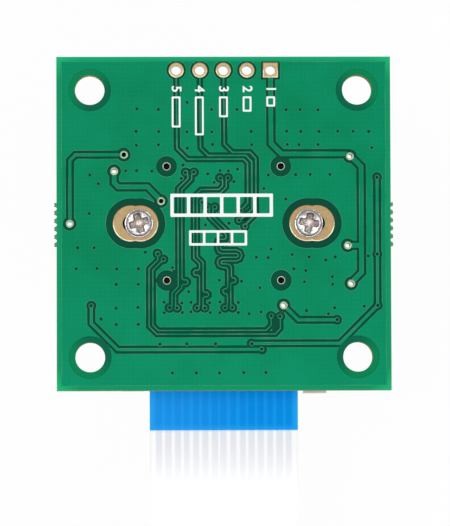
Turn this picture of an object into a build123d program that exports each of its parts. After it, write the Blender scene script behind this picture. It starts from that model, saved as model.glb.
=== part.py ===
from build123d import *
import os
from math import atan2, cos, degrees, hypot, radians, sin, tan

os.makedirs("parts", exist_ok=True)

# Camera module: a square board with a screw lens on its front and a flat cable.
# It lies with its lens on the floor and the back of the board up. The origin is on
# the floor under the optical axis, the header is towards +Y and the cable leaves towards -Y.

# Board
board_size = 36.0
board_thickness = 1.6
lens_reach = 19.0  # from the board's front face to the front of the lens
corner_inset = 3.6
corner_hole = 3.2
corner_bare = 4.54  # bare ring round each corner hole

# Copper on the back, under the green mask
relief = 0.04  # depth of the gaps below the masked copper
fan_share = 0.55  # how far the runs on the front close up behind the connector
fan_start = 6.6  # inside the board's edge
fan_end = 12.0
copper_gap = 0.2
edge_margin = 0.5
signal = 0.24
pair = 0.2
feed = 0.4
power = 0.56
sealed_via_pad = 0.62
dot_corners = 12
open_via_pad = 0.84
open_via_bore = 0.5
open_via_bare = 1.4

# Stubs left by the broken panel tabs
stub_reach = 0.24
stub_pitch = 0.865
stub_bites = 5
stub_centre = -0.1
bite_diameter = 0.52
bite_depth = 0.03  # into the board itself
stub_end = 0.17

# Plated holes
plating = 0.035
fit_gap = 0.01
header_pitch = 2.54
header_pins = 5
header_pad = 1.6
header_bore = 1.05
header_from_edge = 1.45
locating_offset = 6.15
locating_bore = 0.72
locating_rim = 0.94
locating_bare = 2.14
slot_near = 9.0  # the two drillings that make each screw slot
slot_far = 10.0
slot_near_bore = 2.06
slot_far_bore = 1.8
slot_pad = 3.87
slot_bare = 5.3

# Screws through the board into the lens holder
screw_offset = 9.15
head_rim_diameter = 3.04
head_diameter = 2.76
head_top_diameter = 1.9
head_rim = 0.22
head_height = 1.05
head_side = 0.52  # where the head starts to round over
shank_diameter = 1.8
shank_length = 5.4
tip_length = 0.7
tip_diameter = 0.9
recess_span = 2.2
recess_width = 0.82
recess_round = 0.2
recess_depth = 0.55
recess_taper = 14
recess_turns = {-1: 17, 1: -9}

# Lens holder
holder_width = 16.0
holder_corner = 1.2
base_height = 5.0
holder_height = 11.0
tube_diameter = 14.6
tube_edge = 0.4
thread_diameter = 12.0
ear_diameter = 4.4
ear_height = 4.8
pilot_gap = 0.03
pilot_depth = 4.4
cavity_width = 12.6
cavity_corner = 1.5
cavity_depth = 2.3
shelf_thickness = 1.0
shelf_opening = 7.4

# Lens barrel
thread_depth = 0.3  # the thread itself is not cut
head_length = 4.6
grip_diameter = 14.0
grip_grooves = 40
groove_diameter = 0.6
groove_depth = 0.18
barrel_edge = 0.3
barrel_bore = 9.9
front_opening = 10.6
funnel_depth = 1.0
rear_opening = 7.6
focus_travel = 1.0
focus_spare = 0.3  # left between barrel and shelf at the end of the travel
spanner_notch = 0.8

# Glass and rings inside the barrel, front to rear
stack_gap = 0.1
ring_front = 1.2
ring_thickness = 0.8
ring_opening = 7.8
front_edge = 1.6
front_bulge = 0.9
front_hollow = 1.1
spacer_thickness = 1.4
spacer_opening = 6.8
middle_edge = 2.0
middle_bulge = 0.6
middle_hollow = 0.4
stop_thickness = 0.2
stop_opening = 2.4
rear_edge = 1.8
rear_bulge = 0.9
rear_hollow = 0.4
rear_hollow_opening = 6.0

# Filter and image sensor
filter_width = 8.6
filter_thickness = 0.5
filter_gap = 0.1
sensor_width = 6.4
sensor_depth = 5.8
ball_height = 0.3
ball_diameter = 0.36
ball_pitch = 0.9
ball_columns = 6
ball_rows = 5
die_thickness = 0.5
cover_thickness = 0.45

# Cable and its connector
ways = 15
way_pitch = 1.0
cable_width = (ways + 1) * way_pitch
film_thickness = 0.2
stiffener_thickness = 0.2
stiffener_beyond_edge = 4.2
far_stiffener_length = 6.0
strip_width = 0.6
strip_length = 4.0
strip_thickness = 0.05
strip_recess = 0.08
cable_below_board = 1.4
cable_start = 3.5  # inside the board's edge

mouth_side_gap = 0.25
housing_wall = 2.35
housing_inset = 0.65  # connector front inside the board's edge
housing_depth = 4.75
housing_height = 2.55
housing_edge = 0.25
mouth_width = cable_width + 2 * mouth_side_gap
housing_width = mouth_width + 2 * housing_wall
mouth_depth = 3.4
mouth_top = 0.45
mouth_bottom = 1.95
contact_width = 0.4
contact_slot = 0.5
contact_play = 0.05
contact_thickness = 0.2
contact_front = 0.5
contact_tail = 0.75
contact_foot = 0.15
tip_run = 0.9
anchor_reach = 0.5
anchor_length = 1.8
anchor_thickness = 0.2
anchor_height = 1.2

slider_gap = 0.1
slider_bar = 0.5
slider_top = 0.2
tongue_thickness = 0.4
tongue_length = 2.9
ear_width = 2.45
ear_bottom = 2.4
ear_reach_left = 0.02
ear_reach_right = 0.28
arm_thickness = 0.3
arm_length = 1.8
arm_top = 0.9
arm_bottom = 1.9
arm_gap = 0.15

# Small parts round the lens holder
regulator_length = 2.9
regulator_width = 1.6
regulator_height = 1.05
regulator_lift = 0.1
leg_width = 0.4
leg_thickness = 0.15
leg_reach = 0.55
leg_pitch = 0.95
crystal_length = 3.2
crystal_width = 2.5
crystal_base_height = 0.45
crystal_can_height = 0.35
crystal_rim = 0.2
large_length = 1.6
large_width = 0.8
large_height = 0.8
small_length = 1.0
small_width = 0.5
small_height = 0.5
resistor_height = 0.35
chip_end = 0.3
chip_row = 0.8  # from the connector's back to the first row of chips behind it
chip_step = 1.2
chip_skin = 0.03

# Heights and places worked out from the sizes above
board_front = lens_reach
board_back = board_front + board_thickness
board_edge = board_size / 2
corner = board_edge - corner_inset
header_y = board_edge - header_from_edge
cable_height = board_front - cable_below_board
film_bottom = cable_height - film_thickness / 2
film_top = cable_height + film_thickness / 2
connector_front = -board_edge + housing_inset
connector_back = connector_front + housing_depth
mouth_back = connector_front + mouth_depth
fan_y = -board_edge + fan_start
sides = (-1, 1)

header_places = [
    ((i - (header_pins - 1) / 2) * header_pitch, header_y) for i in range(header_pins)
]
first_pin = header_places[-1]
corner_places = [(sx * corner, sy * corner) for sx in sides for sy in sides]
locating_places = [
    (sx * locating_offset, sy * locating_offset) for sx in sides for sy in sides
]
slot_places = [(side * x, 0) for side in sides for x in (slot_near, slot_far)]
slot_bores = [slot_near_bore, slot_far_bore] * len(sides)

# Each run of copper on the back: its corner points and its width
back_runs = [
    ([(-5.08, header_y), (-5.03, 8.1), (-3.87, 6.93), (2.15, 6.93), (2.57, 6.5),
      (2.57, 2.2), (1.8, 1.4)], signal),
    ([(-2.54, header_y), (-2.49, 8.15), (-1.67, 7.32), (2.4, 7.32), (3.03, 6.65),
      (3.03, 1.5), (1.7, 0.32)], signal),
    ([(0.0, header_y), (0.08, 8.55), (0.95, 7.66), (2.85, 7.66), (3.47, 7.0),
      (3.47, 1.0), (2.27, -0.2)], signal),
    ([(5.08, header_y), (5.12, 8.6), (6.24, 7.48), (13.4, 7.48), (14.82, 6.1),
      (14.82, -5.3), (13.7, -6.45)], power),
    ([(13.35, -2.4), (14.82, -2.4)], power),
    ([(-10.75, 7.42), (-15.95, 7.42), (-16.55, 6.8), (-16.55, 0.0)], feed),
    ([(-11.8, 5.65), (-11.8, 4.4), (-11.35, 3.95), (-8.2, 3.95), (-6.75, 2.45)], power),
    ([(-14.28, -8.85), (-14.28, -10.75), (-11.45, -13.58), (4.05, -13.58)], feed),
    ([(2.95, -12.95), (12.45, -12.95), (16.53, -8.87), (16.53, 4.95)], feed),
    ([(6.4, -8.85), (7.97, -10.42), (12.15, -10.42)], feed),
    ([(-7.15, -3.25), (-7.13, -3.95), (-8.07, -4.87), (-8.07, -11.1), (-7.25, -11.93),
      (5.5, -11.93), (6.05, -11.35), (6.03, -10.05)], pair),
    ([(-6.5, -3.88), (-7.66, -5.05), (-7.66, -10.95), (-7.08, -11.53), (4.5, -11.53),
      (5.05, -11.0), (5.05, -10.0)], pair),
    ([(-4.1, 5.5), (-3.85, 5.2), (-3.85, 4.85), (-4.93, 3.78), (-4.93, -6.8),
      (-5.6, -7.5), (-5.6, -8.8), (-5.87, -9.1)], pair),
    ([(-3.2, 5.5), (-3.45, 5.2), (-3.45, 4.7), (-4.52, 3.6), (-4.52, -5.9),
      (-4.35, -6.08), (-4.05, -6.08), (-3.88, -6.24), (-3.88, -6.42), (-4.05, -6.58),
      (-4.4, -6.58), (-4.55, -6.74), (-4.55, -6.95), (-5.22, -7.62), (-5.22, -8.85),
      (-5.05, -9.1)], pair),
    ([(-0.4, 4.9), (-0.12, 4.65), (-0.12, 4.05), (-0.52, 3.65), (-2.45, 3.65),
      (-3.25, 2.85), (-3.25, -3.75), (-2.63, -4.35), (-2.63, -4.88), (-2.8, -5.05),
      (-3.1, -5.05), (-3.28, -5.22), (-3.28, -5.4), (-3.1, -5.58), (-2.8, -5.58),
      (-2.64, -5.74), (-2.64, -8.8), (-2.9, -9.1)], pair),
    ([(0.45, 4.9), (0.28, 4.6), (0.28, 3.9), (-0.36, 3.26), (-2.25, 3.26),
      (-2.87, 2.65), (-2.87, -3.6), (-2.25, -4.2), (-2.25, -7.26), (-2.08, -7.42),
      (-1.84, -7.42), (-1.66, -7.58), (-1.66, -7.76), (-1.84, -7.92), (-2.1, -7.92),
      (-2.27, -8.08), (-2.27, -8.8), (-2.1, -9.1)], pair),
    ([(-1.78, 1.72), (-1.56, 1.45), (-1.56, 0.58), (0.13, -1.11), (0.25, -1.35),
      (0.25, -1.55), (0.1, -1.72), (-0.42, -1.72), (-0.66, -1.82), (-0.75, -2.05),
      (-0.75, -2.76), (-0.6, -3.1), (-0.25, -3.26), (1.38, -3.26), (1.53, -3.37),
      (1.53, -3.55), (1.38, -3.66), (-0.17, -3.66), (-0.56, -3.82), (-0.72, -4.21),
      (-0.56, -4.6), (-0.17, -4.77), (0.15, -4.77), (0.33, -4.85), (0.4, -5.02),
      (0.4, -6.89), (0.24, -7.05), (0.04, -7.05), (-0.12, -7.2), (-0.12, -7.42),
      (0.04, -7.58), (0.2, -7.58), (0.36, -7.74), (0.36, -8.8), (0.1, -9.1)], pair),
    ([(-0.95, 1.72), (-1.16, 1.45), (-1.16, 0.75), (0.53, -0.94), (0.66, -1.2),
      (0.66, -1.8), (0.55, -2.03), (0.32, -2.12), (-0.2, -2.12), (-0.32, -2.18),
      (-0.36, -2.3), (-0.36, -2.66), (-0.3, -2.8), (-0.15, -2.86), (1.33, -2.86),
      (1.75, -3.04), (1.93, -3.46), (1.75, -3.88), (1.33, -4.06), (-0.15, -4.06),
      (-0.3, -4.13), (-0.3, -4.3), (-0.15, -4.38), (0.35, -4.38), (0.67, -4.51),
      (0.8, -4.83), (0.8, -5.74), (0.96, -5.9), (1.12, -5.9), (1.28, -6.06),
      (1.28, -6.24), (1.12, -6.4), (0.88, -6.4), (0.72, -6.56), (0.72, -8.8),
      (0.9, -9.1)], pair),
]

# Vias closed by the mask at the ends of the runs, and the larger open ones
sealed_vias = [
    (-14.28, -8.85), (-7.15, -3.25), (-6.5, -3.88), (-4.1, 5.5), (-3.2, 5.5),
    (-0.4, 4.9), (0.45, 4.9), (1.8, 1.4), (1.62, 0.32), (2.27, -0.3), (2.95, -12.95),
    (4.05, -13.58), (12.15, -10.42), (16.53, -8.87), (16.53, -3.35), (16.53, 4.95),
    (5.05, -10.0), (6.03, -10.05), (-5.87, -9.1), (-5.05, -9.1), (-2.9, -9.1),
    (-2.1, -9.1), (0.1, -9.1), (0.9, -9.1), (-1.78, 1.72), (-0.95, 1.72),
]
open_vias = [
    (-11.8, 5.65), (-10.75, 7.42), (-6.75, 2.42), (13.6, 7.22), (13.35, -2.4),
    (13.7, -6.5), (6.4, -8.85), (-16.58, 0.0),
]

# Spots between the runs that are too narrow for the pour: x, y, width, height
bare_spots = [
    (5.54, -10.95, 0.72, 1.5), (-4.2, -6.33, 0.4, 0.35), (-2.97, -5.31, 0.4, 0.35),
    (-1.95, -7.67, 0.4, 0.35), (1.0, -6.15, 0.4, 0.35), (0.12, -7.31, 0.4, 0.35),
    (-5.3, -6.1, 0.45, 2.1), (6.35, 7.05, 1.3, 0.4), (-7.15, 2.1, 0.5, 0.6),
    (-1.36, 1.75, 0.5, 0.5), (1.75, 0.85, 0.5, 0.7),
]

# Runs on the front, from the connector to the sensor
front_runs = [
    ([(x, connector_back), (x, fan_y), (x * fan_share, fan_y + abs(x) * (1 - fan_share)),
      (x * fan_share, -board_edge + fan_end)], pair)
    for x in (-4, -3, -2, -1, 1, 2, 3, 4)
]

# Small parts on the front: the middle of each, and whether its length lies along Y
regulators = [(11.8, 11.4, 0), (-13.0, -5.4, 1), (-13.0, -9.6, 1)]
crystal_place = (-10.9, 8.2, 0)
capacitor_sizes = {
    "large": (large_length, large_width, large_height),
    "small": (small_length, small_width, small_height),
}
capacitors = [
    ("large", 8.6, 11.6, 1), ("large", 15.0, 11.4, 1), ("large", -15.6, -5.4, 1),
    ("large", -15.6, -10.2, 1), ("large", -10.6, -5.4, 1), ("large", -10.6, -9.6, 1),
    ("large", -13.0, 11.4, 0), ("small", -5.4, 10.2, 1), ("small", -3.9, 10.2, 1),
    ("small", -2.4, 10.2, 1), ("small", 2.2, 10.2, 1), ("small", 3.7, 10.2, 1),
    ("small", 5.2, 10.2, 1), ("small", 10.4, 5.4, 0), ("small", 10.4, 6.8, 0),
    ("small", 10.6, -4.4, 0), ("small", 10.6, -5.8, 0),
]
resistor_size = (small_length, small_width, resistor_height)
resistors = [
    (-8.2, 11.0, 1), (-7.0, 11.0, 1), (0.0, 11.0, 0), (0.0, 9.9, 0),
    (8.8, connector_back + chip_row, 0), (8.8, connector_back + chip_row + chip_step, 0),
    (-9.4, connector_back + chip_row, 0), (12.0, connector_back + 2 * chip_step, 1),
    (12.0 + chip_step, connector_back + 2 * chip_step, 1), (16.0, 2.0, 1),
]

# The cable's route: how far along -Y and how high each corner of it is
cable_route = [
    (-board_edge + cable_start, cable_height), (-28.0, cable_height), (-41.3, 13.0),
    (-54.0, 4.2), (-68.2, -0.1), (-98.0, 1.0), (-130.0, 1.3),
    (-160.0, 0.12),
]
bend_share = 0.45


def lay_bands(runs, grow=0):
    # Runs of copper as straight bands with mitred corners, all joined in one go
    bands = []
    for points, width in runs:
        half = (width + grow) / 2
        steps = [Vector(*end) - Vector(*start) for start, end in zip(points, points[1:])]
        turns = [radians(one.get_angle(next_one)) for one, next_one in zip(steps, steps[1:])]
        reaches = [0, *[half * tan(turn / 2) for turn in turns], 0]
        for start, step, before, after in zip(points, steps, reaches, reaches[1:]):
            middle = Vector(*start) + step / 2 + step.normalized() * (after - before) / 2
            length = step.length + before + after
            angle = degrees(atan2(step.Y, step.X))
            with Locations(middle):
                bands.append(Rectangle(length, 2 * half, angle, mode=Mode.PRIVATE))
    add(bands)


def lay_discs(places, diameter, mode=Mode.ADD):
    with Locations(*places):
        Circle(diameter / 2, mode=mode)


def lay_dots(places, diameter):
    # Small discs, with few corners
    with Locations(*places):
        RegularPolygon(diameter / 2, dot_corners)


def lay_bores(places, bores, grow=0, mode=Mode.ADD):
    # One disc to a place, each with its own diameter
    for bore in sorted(set(bores)):
        same = [place for place, one in zip(places, bores) if one == bore]
        lay_discs(same, bore + grow, mode)


def plate_holes(places, pad, bores, square_places=()):
    # Plated holes: a flat pad on each face, joined by a thin barrel
    round_places = [place for place in places if place not in square_places]
    for level in (board_back - relief, board_front + relief - plating):
        with BuildSketch(Plane.XY.offset(level)) as flange:
            lay_discs(round_places, pad)
            if square_places:
                with Locations(*square_places):
                    Rectangle(pad, pad)
            lay_bores(places, bores, mode=Mode.SUBTRACT)
        extrude(flange.sketch, amount=plating)
    with BuildSketch(Plane.XY.offset(board_front + relief - plating)) as wall:
        lay_bores(places, bores, 2 * plating)
        lay_bores(places, bores, mode=Mode.SUBTRACT)
    extrude(wall.sketch, amount=board_thickness - 2 * (relief - plating))


def lay_pad_windows(grow):
    # Where the mask is open round every plated hole
    lay_discs(header_places[:-1], header_pad + grow)
    with Locations(first_pin):
        Rectangle(header_pad + grow, header_pad + grow)
    lay_discs(open_vias, open_via_pad + 2 * fit_gap)
    lay_discs(slot_places, slot_pad + grow)
    lay_discs(locating_places, locating_rim + grow)


# Circuit board
with BuildSketch() as copper:
    lay_bands(back_runs)
    lay_dots(sealed_vias, sealed_via_pad)

with BuildSketch(Plane.XY.offset(board_back)) as back_gaps:
    inner_size = board_size - 2 * edge_margin
    Rectangle(board_size + 4 * stub_reach, board_size + 4 * stub_reach)
    Rectangle(inner_size, inner_size, mode=Mode.SUBTRACT)
    lay_bands(back_runs, 2 * copper_gap)
    lay_dots(sealed_vias, sealed_via_pad + 2 * copper_gap)
    lay_discs(open_vias, open_via_bare)
    for x, y, width, height in bare_spots:
        with Locations((x, y)):
            Rectangle(width, height)
    lay_discs(corner_places, corner_bare)
    lay_discs(locating_places, locating_bare)
    lay_discs(slot_places, slot_bare)
    lay_discs(header_places[:-1], header_pad + 2 * copper_gap)
    with Locations(first_pin):
        Rectangle(header_pad + 2 * copper_gap, header_pad + 2 * copper_gap)
    add(copper.sketch_local, mode=Mode.SUBTRACT)
    lay_pad_windows(2 * fit_gap)

with BuildSketch() as front_copper:
    lay_bands(front_runs)

with BuildSketch(Plane.XY.offset(board_front)) as front_gaps:
    lay_bands(front_runs, copper_gap)
    add(front_copper.sketch_local, mode=Mode.SUBTRACT)
    lay_pad_windows(2 * copper_gap)

with BuildPart() as circuit_board:
    with BuildSketch(Plane.XY.offset(board_front)):
        Rectangle(board_size, board_size)
        with Locations((0, stub_centre)):
            Rectangle(board_size + 2 * stub_reach, stub_bites * stub_pitch + 2 * stub_end)
        for side in sides:
            with Locations((side * (board_edge + bite_diameter / 2 - bite_depth), stub_centre)):
                with GridLocations(0, stub_pitch, 1, stub_bites):
                    Circle(bite_diameter / 2, mode=Mode.SUBTRACT)
        lay_discs(corner_places, corner_hole, Mode.SUBTRACT)
        room = 2 * (plating + fit_gap)
        lay_discs(header_places, header_bore + room, Mode.SUBTRACT)
        lay_discs(open_vias, open_via_bore + room, Mode.SUBTRACT)
        lay_bores(slot_places, slot_bores, room, Mode.SUBTRACT)
        lay_discs(locating_places, locating_bore + room, Mode.SUBTRACT)
    extrude(amount=board_thickness)
    extrude(back_gaps.sketch, amount=-relief, mode=Mode.SUBTRACT)
    extrude(front_gaps.sketch, amount=relief, mode=Mode.SUBTRACT)
circuit_board.part.label = "circuit_board"
export_step(circuit_board.part, "parts/circuit_board.step")

with BuildPart() as header_pads:
    plate_holes(header_places, header_pad, [header_bore] * header_pins, [first_pin])
header_pads.part.label = "header_pads"
export_step(header_pads.part, "parts/header_pads.step")

with BuildPart() as screw_pads:
    plate_holes(slot_places, slot_pad, slot_bores)
screw_pads.part.label = "screw_pads"
export_step(screw_pads.part, "parts/screw_pads.step")

with BuildPart() as via_plating:
    plate_holes(open_vias, open_via_pad, [open_via_bore] * len(open_vias))
via_plating.part.label = "via_plating"
export_step(via_plating.part, "parts/via_plating.step")

with BuildPart() as locating_plating:
    plate_holes(locating_places, locating_rim, [locating_bore] * len(locating_places))
locating_plating.part.label = "locating_plating"
export_step(locating_plating.part, "parts/locating_plating.step")

# Screws, with a cross recess turned as each one was left
with BuildPart() as holder_screws:
    for side in sides:
        seat = (side * screw_offset, 0, board_back)
        with BuildSketch(Plane(origin=seat, x_dir=(1, 0, 0), z_dir=(0, -1, 0))):
            with BuildLine():
                Polyline(
                    (0, -shank_length), (tip_diameter / 2, -shank_length),
                    (shank_diameter / 2, tip_length - shank_length), (shank_diameter / 2, 0),
                    (head_rim_diameter / 2, 0), (head_rim_diameter / 2, head_rim),
                    (head_diameter / 2, head_rim), (head_diameter / 2, head_side),
                )
                brow = (head_top_diameter / 2, head_height)
                TangentArc((head_diameter / 2, head_side), brow, tangent=(0, 1))
                Polyline(brow, (0, head_height), (0, -shank_length))
            make_face()
        revolve(axis=Axis(seat, (0, 0, 1)))
        turn = radians(recess_turns[side])
        top = (side * screw_offset, 0, board_back + head_height)
        with BuildSketch(Plane(origin=top, x_dir=(cos(turn), sin(turn), 0), z_dir=(0, 0, 1))):
            Rectangle(recess_span, recess_width)
            Rectangle(recess_width, recess_span)
            fillet(vertices(), recess_round)
        extrude(amount=-recess_depth, taper=recess_taper, mode=Mode.SUBTRACT)
holder_screws.part.label = "holder_screws"
export_step(holder_screws.part, "parts/holder_screws.step")

# Lens holder
filter_seat = board_front - cavity_depth - filter_thickness - filter_gap
thread_end = filter_seat - shelf_thickness
with BuildPart() as lens_holder:
    with BuildSketch(Plane.XY.offset(board_front - base_height)):
        RectangleRounded(holder_width, holder_width, holder_corner)
    extrude(amount=base_height)
    with BuildSketch(Plane.XY.offset(board_front - ear_height)):
        SlotCenterToCenter(2 * screw_offset, ear_diameter)
    extrude(amount=ear_height)
    with BuildSketch(Plane.XY.offset(board_front - holder_height)):
        Circle(tube_diameter / 2)
    extrude(amount=holder_height - base_height)
    chamfer(lens_holder.edges().group_by(Axis.Z)[0], tube_edge)
    with BuildSketch(Plane.XY.offset(board_front - holder_height)):
        Circle(thread_diameter / 2)
    extrude(amount=thread_end - board_front + holder_height, mode=Mode.SUBTRACT)
    with BuildSketch(Plane.XY.offset(thread_end)):
        Circle(shelf_opening / 2)
    extrude(amount=2 * shelf_thickness, mode=Mode.SUBTRACT)
    with BuildSketch(Plane.XY.offset(filter_seat)):
        Rectangle(filter_width + 2 * filter_gap, filter_width + 2 * filter_gap)
    extrude(amount=board_front - filter_seat, mode=Mode.SUBTRACT)
    with BuildSketch(Plane.XY.offset(board_front - cavity_depth)):
        RectangleRounded(cavity_width, cavity_width, cavity_corner)
    extrude(amount=cavity_depth, mode=Mode.SUBTRACT)
    with BuildSketch(Plane.XY.offset(board_front - pilot_depth)):
        with Locations(*[(side * screw_offset, 0) for side in sides]):
            Circle(shank_diameter / 2 + pilot_gap)
    extrude(amount=pilot_depth, mode=Mode.SUBTRACT)
lens_holder.part.label = "lens_holder"
export_step(lens_holder.part, "parts/lens_holder.step")

# Lens barrel: grip at the front, threaded neck, stepped bore for the glass
glass_radius = barrel_bore / 2 - stack_gap
ring_radius = barrel_bore / 2 - fit_gap
ring_rear = ring_front + ring_thickness
stack_front = ring_rear + fit_gap
front_rear = stack_front + front_edge
spacer_rear = front_rear + spacer_thickness
middle_rear = spacer_rear + middle_edge
stop_rear = middle_rear + stop_thickness
rear_rear = stop_rear + rear_edge
glass_seat = rear_rear + stack_gap
barrel_length = thread_end - focus_travel - focus_spare
neck_radius = thread_diameter / 2 - thread_depth
grip_radius = grip_diameter / 2

with BuildPart() as lens_barrel:
    with BuildSketch(Plane.XZ):
        with BuildLine():
            Polyline(
                (front_opening / 2, 0), (grip_radius - barrel_edge, 0),
                (grip_radius, barrel_edge), (grip_radius, head_length - barrel_edge),
                (grip_radius - barrel_edge, head_length), (neck_radius, head_length),
                (neck_radius, barrel_length - barrel_edge),
                (neck_radius - barrel_edge, barrel_length),
                (rear_opening / 2, barrel_length), (rear_opening / 2, glass_seat),
                (barrel_bore / 2, glass_seat), (barrel_bore / 2, funnel_depth),
                close=True,
            )
        make_face()
    revolve(axis=Axis.Z)
    with BuildSketch(Plane.XY):
        with PolarLocations(grip_radius + groove_diameter / 2 - groove_depth, grip_grooves):
            Circle(groove_diameter / 2)
    extrude(amount=head_length, mode=Mode.SUBTRACT)
lens_barrel.part.label = "lens_barrel"
export_step(lens_barrel.part, "parts/lens_barrel.step")


def spin_ring(front, rear, radius, opening):
    # A plain ring of the stack
    with BuildSketch(Plane.XY.offset(front)) as ring:
        Circle(radius)
        Circle(opening / 2, mode=Mode.SUBTRACT)
    extrude(ring.sketch, amount=rear - front)


def spin_lens(front, rear, front_radius, front_sag, rear_radius, rear_sag):
    # A lens with a flat rim: positive sags bend each face towards the front
    with BuildSketch(Plane.XZ) as half:
        with BuildLine():
            TangentArc((0, front - front_sag), (front_radius, front), tangent=(1, 0))
            Polyline(
                (front_radius, front), (glass_radius, front),
                (glass_radius, rear), (rear_radius, rear),
            )
            TangentArc((0, rear - rear_sag), (rear_radius, rear), tangent=(1, 0))
            Line((0, rear - rear_sag), (0, front - front_sag))
        make_face()
    revolve(half.sketch, axis=Axis.Z)


with BuildPart() as retaining_ring:
    spin_ring(ring_front, ring_rear, ring_radius, ring_opening)
    with BuildSketch(Plane.XY.offset(ring_front)):
        with PolarLocations((ring_radius + ring_opening / 2) / 2, 2):
            Rectangle(2 * (ring_radius - ring_opening / 2), spanner_notch)
    extrude(amount=ring_thickness / 2, mode=Mode.SUBTRACT)
retaining_ring.part.label = "retaining_ring"
export_step(retaining_ring.part, "parts/retaining_ring.step")

with BuildPart() as front_lens:
    spin_lens(
        stack_front, front_rear, ring_opening / 2, front_bulge,
        spacer_opening / 2, front_hollow,
    )
front_lens.part.label = "front_lens"
export_step(front_lens.part, "parts/front_lens.step")

with BuildPart() as spacer_ring:
    spin_ring(front_rear, spacer_rear, glass_radius, spacer_opening)
spacer_ring.part.label = "spacer_ring"
export_step(spacer_ring.part, "parts/spacer_ring.step")

with BuildPart() as middle_lens:
    spin_lens(
        spacer_rear, middle_rear, spacer_opening / 2, middle_bulge,
        rear_hollow_opening / 2, middle_hollow,
    )
middle_lens.part.label = "middle_lens"
export_step(middle_lens.part, "parts/middle_lens.step")

with BuildPart() as aperture_stop:
    spin_ring(middle_rear, stop_rear, glass_radius, stop_opening)
aperture_stop.part.label = "aperture_stop"
export_step(aperture_stop.part, "parts/aperture_stop.step")

with BuildPart() as rear_lens:
    spin_lens(
        stop_rear, rear_rear, rear_hollow_opening / 2, -rear_hollow,
        rear_opening / 2 - stack_gap, -rear_bulge,
    )
rear_lens.part.label = "rear_lens"
export_step(rear_lens.part, "parts/rear_lens.step")

with BuildPart() as infrared_filter:
    with BuildSketch(Plane.XY.offset(filter_seat)):
        Rectangle(filter_width, filter_width)
    extrude(amount=filter_thickness)
infrared_filter.part.label = "infrared_filter"
export_step(infrared_filter.part, "parts/infrared_filter.step")

# Image sensor: solder balls on the board, the die, and its cover glass
die_top = board_front - ball_height
with BuildPart() as sensor_balls:
    with BuildSketch(Plane.XY.offset(die_top)):
        with GridLocations(ball_pitch, ball_pitch, ball_columns, ball_rows):
            Circle(ball_diameter / 2)
    extrude(amount=ball_height)
sensor_balls.part.label = "sensor_balls"
export_step(sensor_balls.part, "parts/sensor_balls.step")

with BuildPart() as sensor_die:
    with BuildSketch(Plane.XY.offset(die_top - die_thickness)):
        Rectangle(sensor_width, sensor_depth)
    extrude(amount=die_thickness)
sensor_die.part.label = "sensor_die"
export_step(sensor_die.part, "parts/sensor_die.step")

with BuildPart() as sensor_glass:
    with BuildSketch(Plane.XY.offset(die_top - die_thickness - cover_thickness)):
        Rectangle(sensor_width, sensor_depth)
    extrude(amount=cover_thickness)
sensor_glass.part.label = "sensor_glass"
export_step(sensor_glass.part, "parts/sensor_glass.step")

# Cable connector, its mouth towards the board's edge
with BuildPart() as connector_housing:
    with BuildSketch(Plane.XY.offset(board_front - housing_height)):
        with Locations((0, connector_front)):
            Rectangle(housing_width, housing_depth, align=(Align.CENTER, Align.MIN))
    extrude(amount=housing_height)
    chamfer(connector_housing.edges().filter_by(Axis.X).group_by(Axis.Z)[0], housing_edge)
    with BuildSketch(Plane.XY.offset(board_front - mouth_bottom)):
        with Locations((0, connector_front)):
            Rectangle(mouth_width, mouth_depth, align=(Align.CENTER, Align.MIN))
    extrude(amount=mouth_bottom - mouth_top, mode=Mode.SUBTRACT)
    with BuildSketch(Plane.XY.offset(board_front - mouth_bottom)):
        with Locations((0, mouth_back)):
            with GridLocations(way_pitch, 0, ways, 1):
                Rectangle(
                    contact_slot, housing_depth - mouth_depth, align=(Align.CENTER, Align.MIN)
                )
    extrude(amount=contact_thickness + contact_play, mode=Mode.SUBTRACT)
connector_housing.part.label = "connector_housing"
export_step(connector_housing.part, "parts/connector_housing.step")

strip_low = board_front - mouth_bottom
strip_high = strip_low + contact_thickness
tip_y = connector_front + contact_front + tip_run
tip_top = film_bottom + strip_recess - strip_thickness - fit_gap
tail_y = connector_back + contact_tail

with BuildPart() as one_contact:
    with BuildSketch(Plane.YZ.offset(-contact_width / 2)):
        with BuildLine():
            Polyline(
                (connector_front + contact_front, strip_low),
                (tail_y, strip_low),
                (tail_y, board_front - contact_foot),
                (tail_y + 2 * contact_foot, board_front - contact_foot),
                (tail_y + 2 * contact_foot, board_front),
                (tail_y - contact_thickness, board_front),
                (tail_y - contact_thickness, strip_high),
                (tip_y + tip_run, strip_high),
                (tip_y + contact_thickness, tip_top),
                (tip_y, tip_top),
                (tip_y - contact_thickness, strip_high),
                (connector_front + contact_front, strip_high),
                close=True,
            )
        make_face()
    extrude(amount=contact_width)

with BuildPart() as connector_contacts:
    with GridLocations(way_pitch, 0, ways, 1):
        add(one_contact.part)
connector_contacts.part.label = "connector_contacts"
export_step(connector_contacts.part, "parts/connector_contacts.step")

# Metal anchors that hold the housing's ends to the board
anchor_y = connector_front + housing_depth / 2
with BuildPart() as connector_anchors:
    for side in sides:
        wall_x = side * housing_width / 2
        turned = Align.MIN if side > 0 else Align.MAX
        with BuildSketch(Plane.XY.offset(board_front - anchor_thickness)):
            with Locations((wall_x, anchor_y)):
                Rectangle(anchor_reach, anchor_length, align=(turned, Align.MIN))
        extrude(amount=anchor_thickness)
        with BuildSketch(Plane.XY.offset(board_front - anchor_height)):
            with Locations((wall_x, anchor_y)):
                Rectangle(anchor_thickness, anchor_length, align=(turned, Align.MIN))
        extrude(amount=anchor_height)
connector_anchors.part.label = "connector_anchors"
export_step(connector_anchors.part, "parts/connector_anchors.step")

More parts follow.
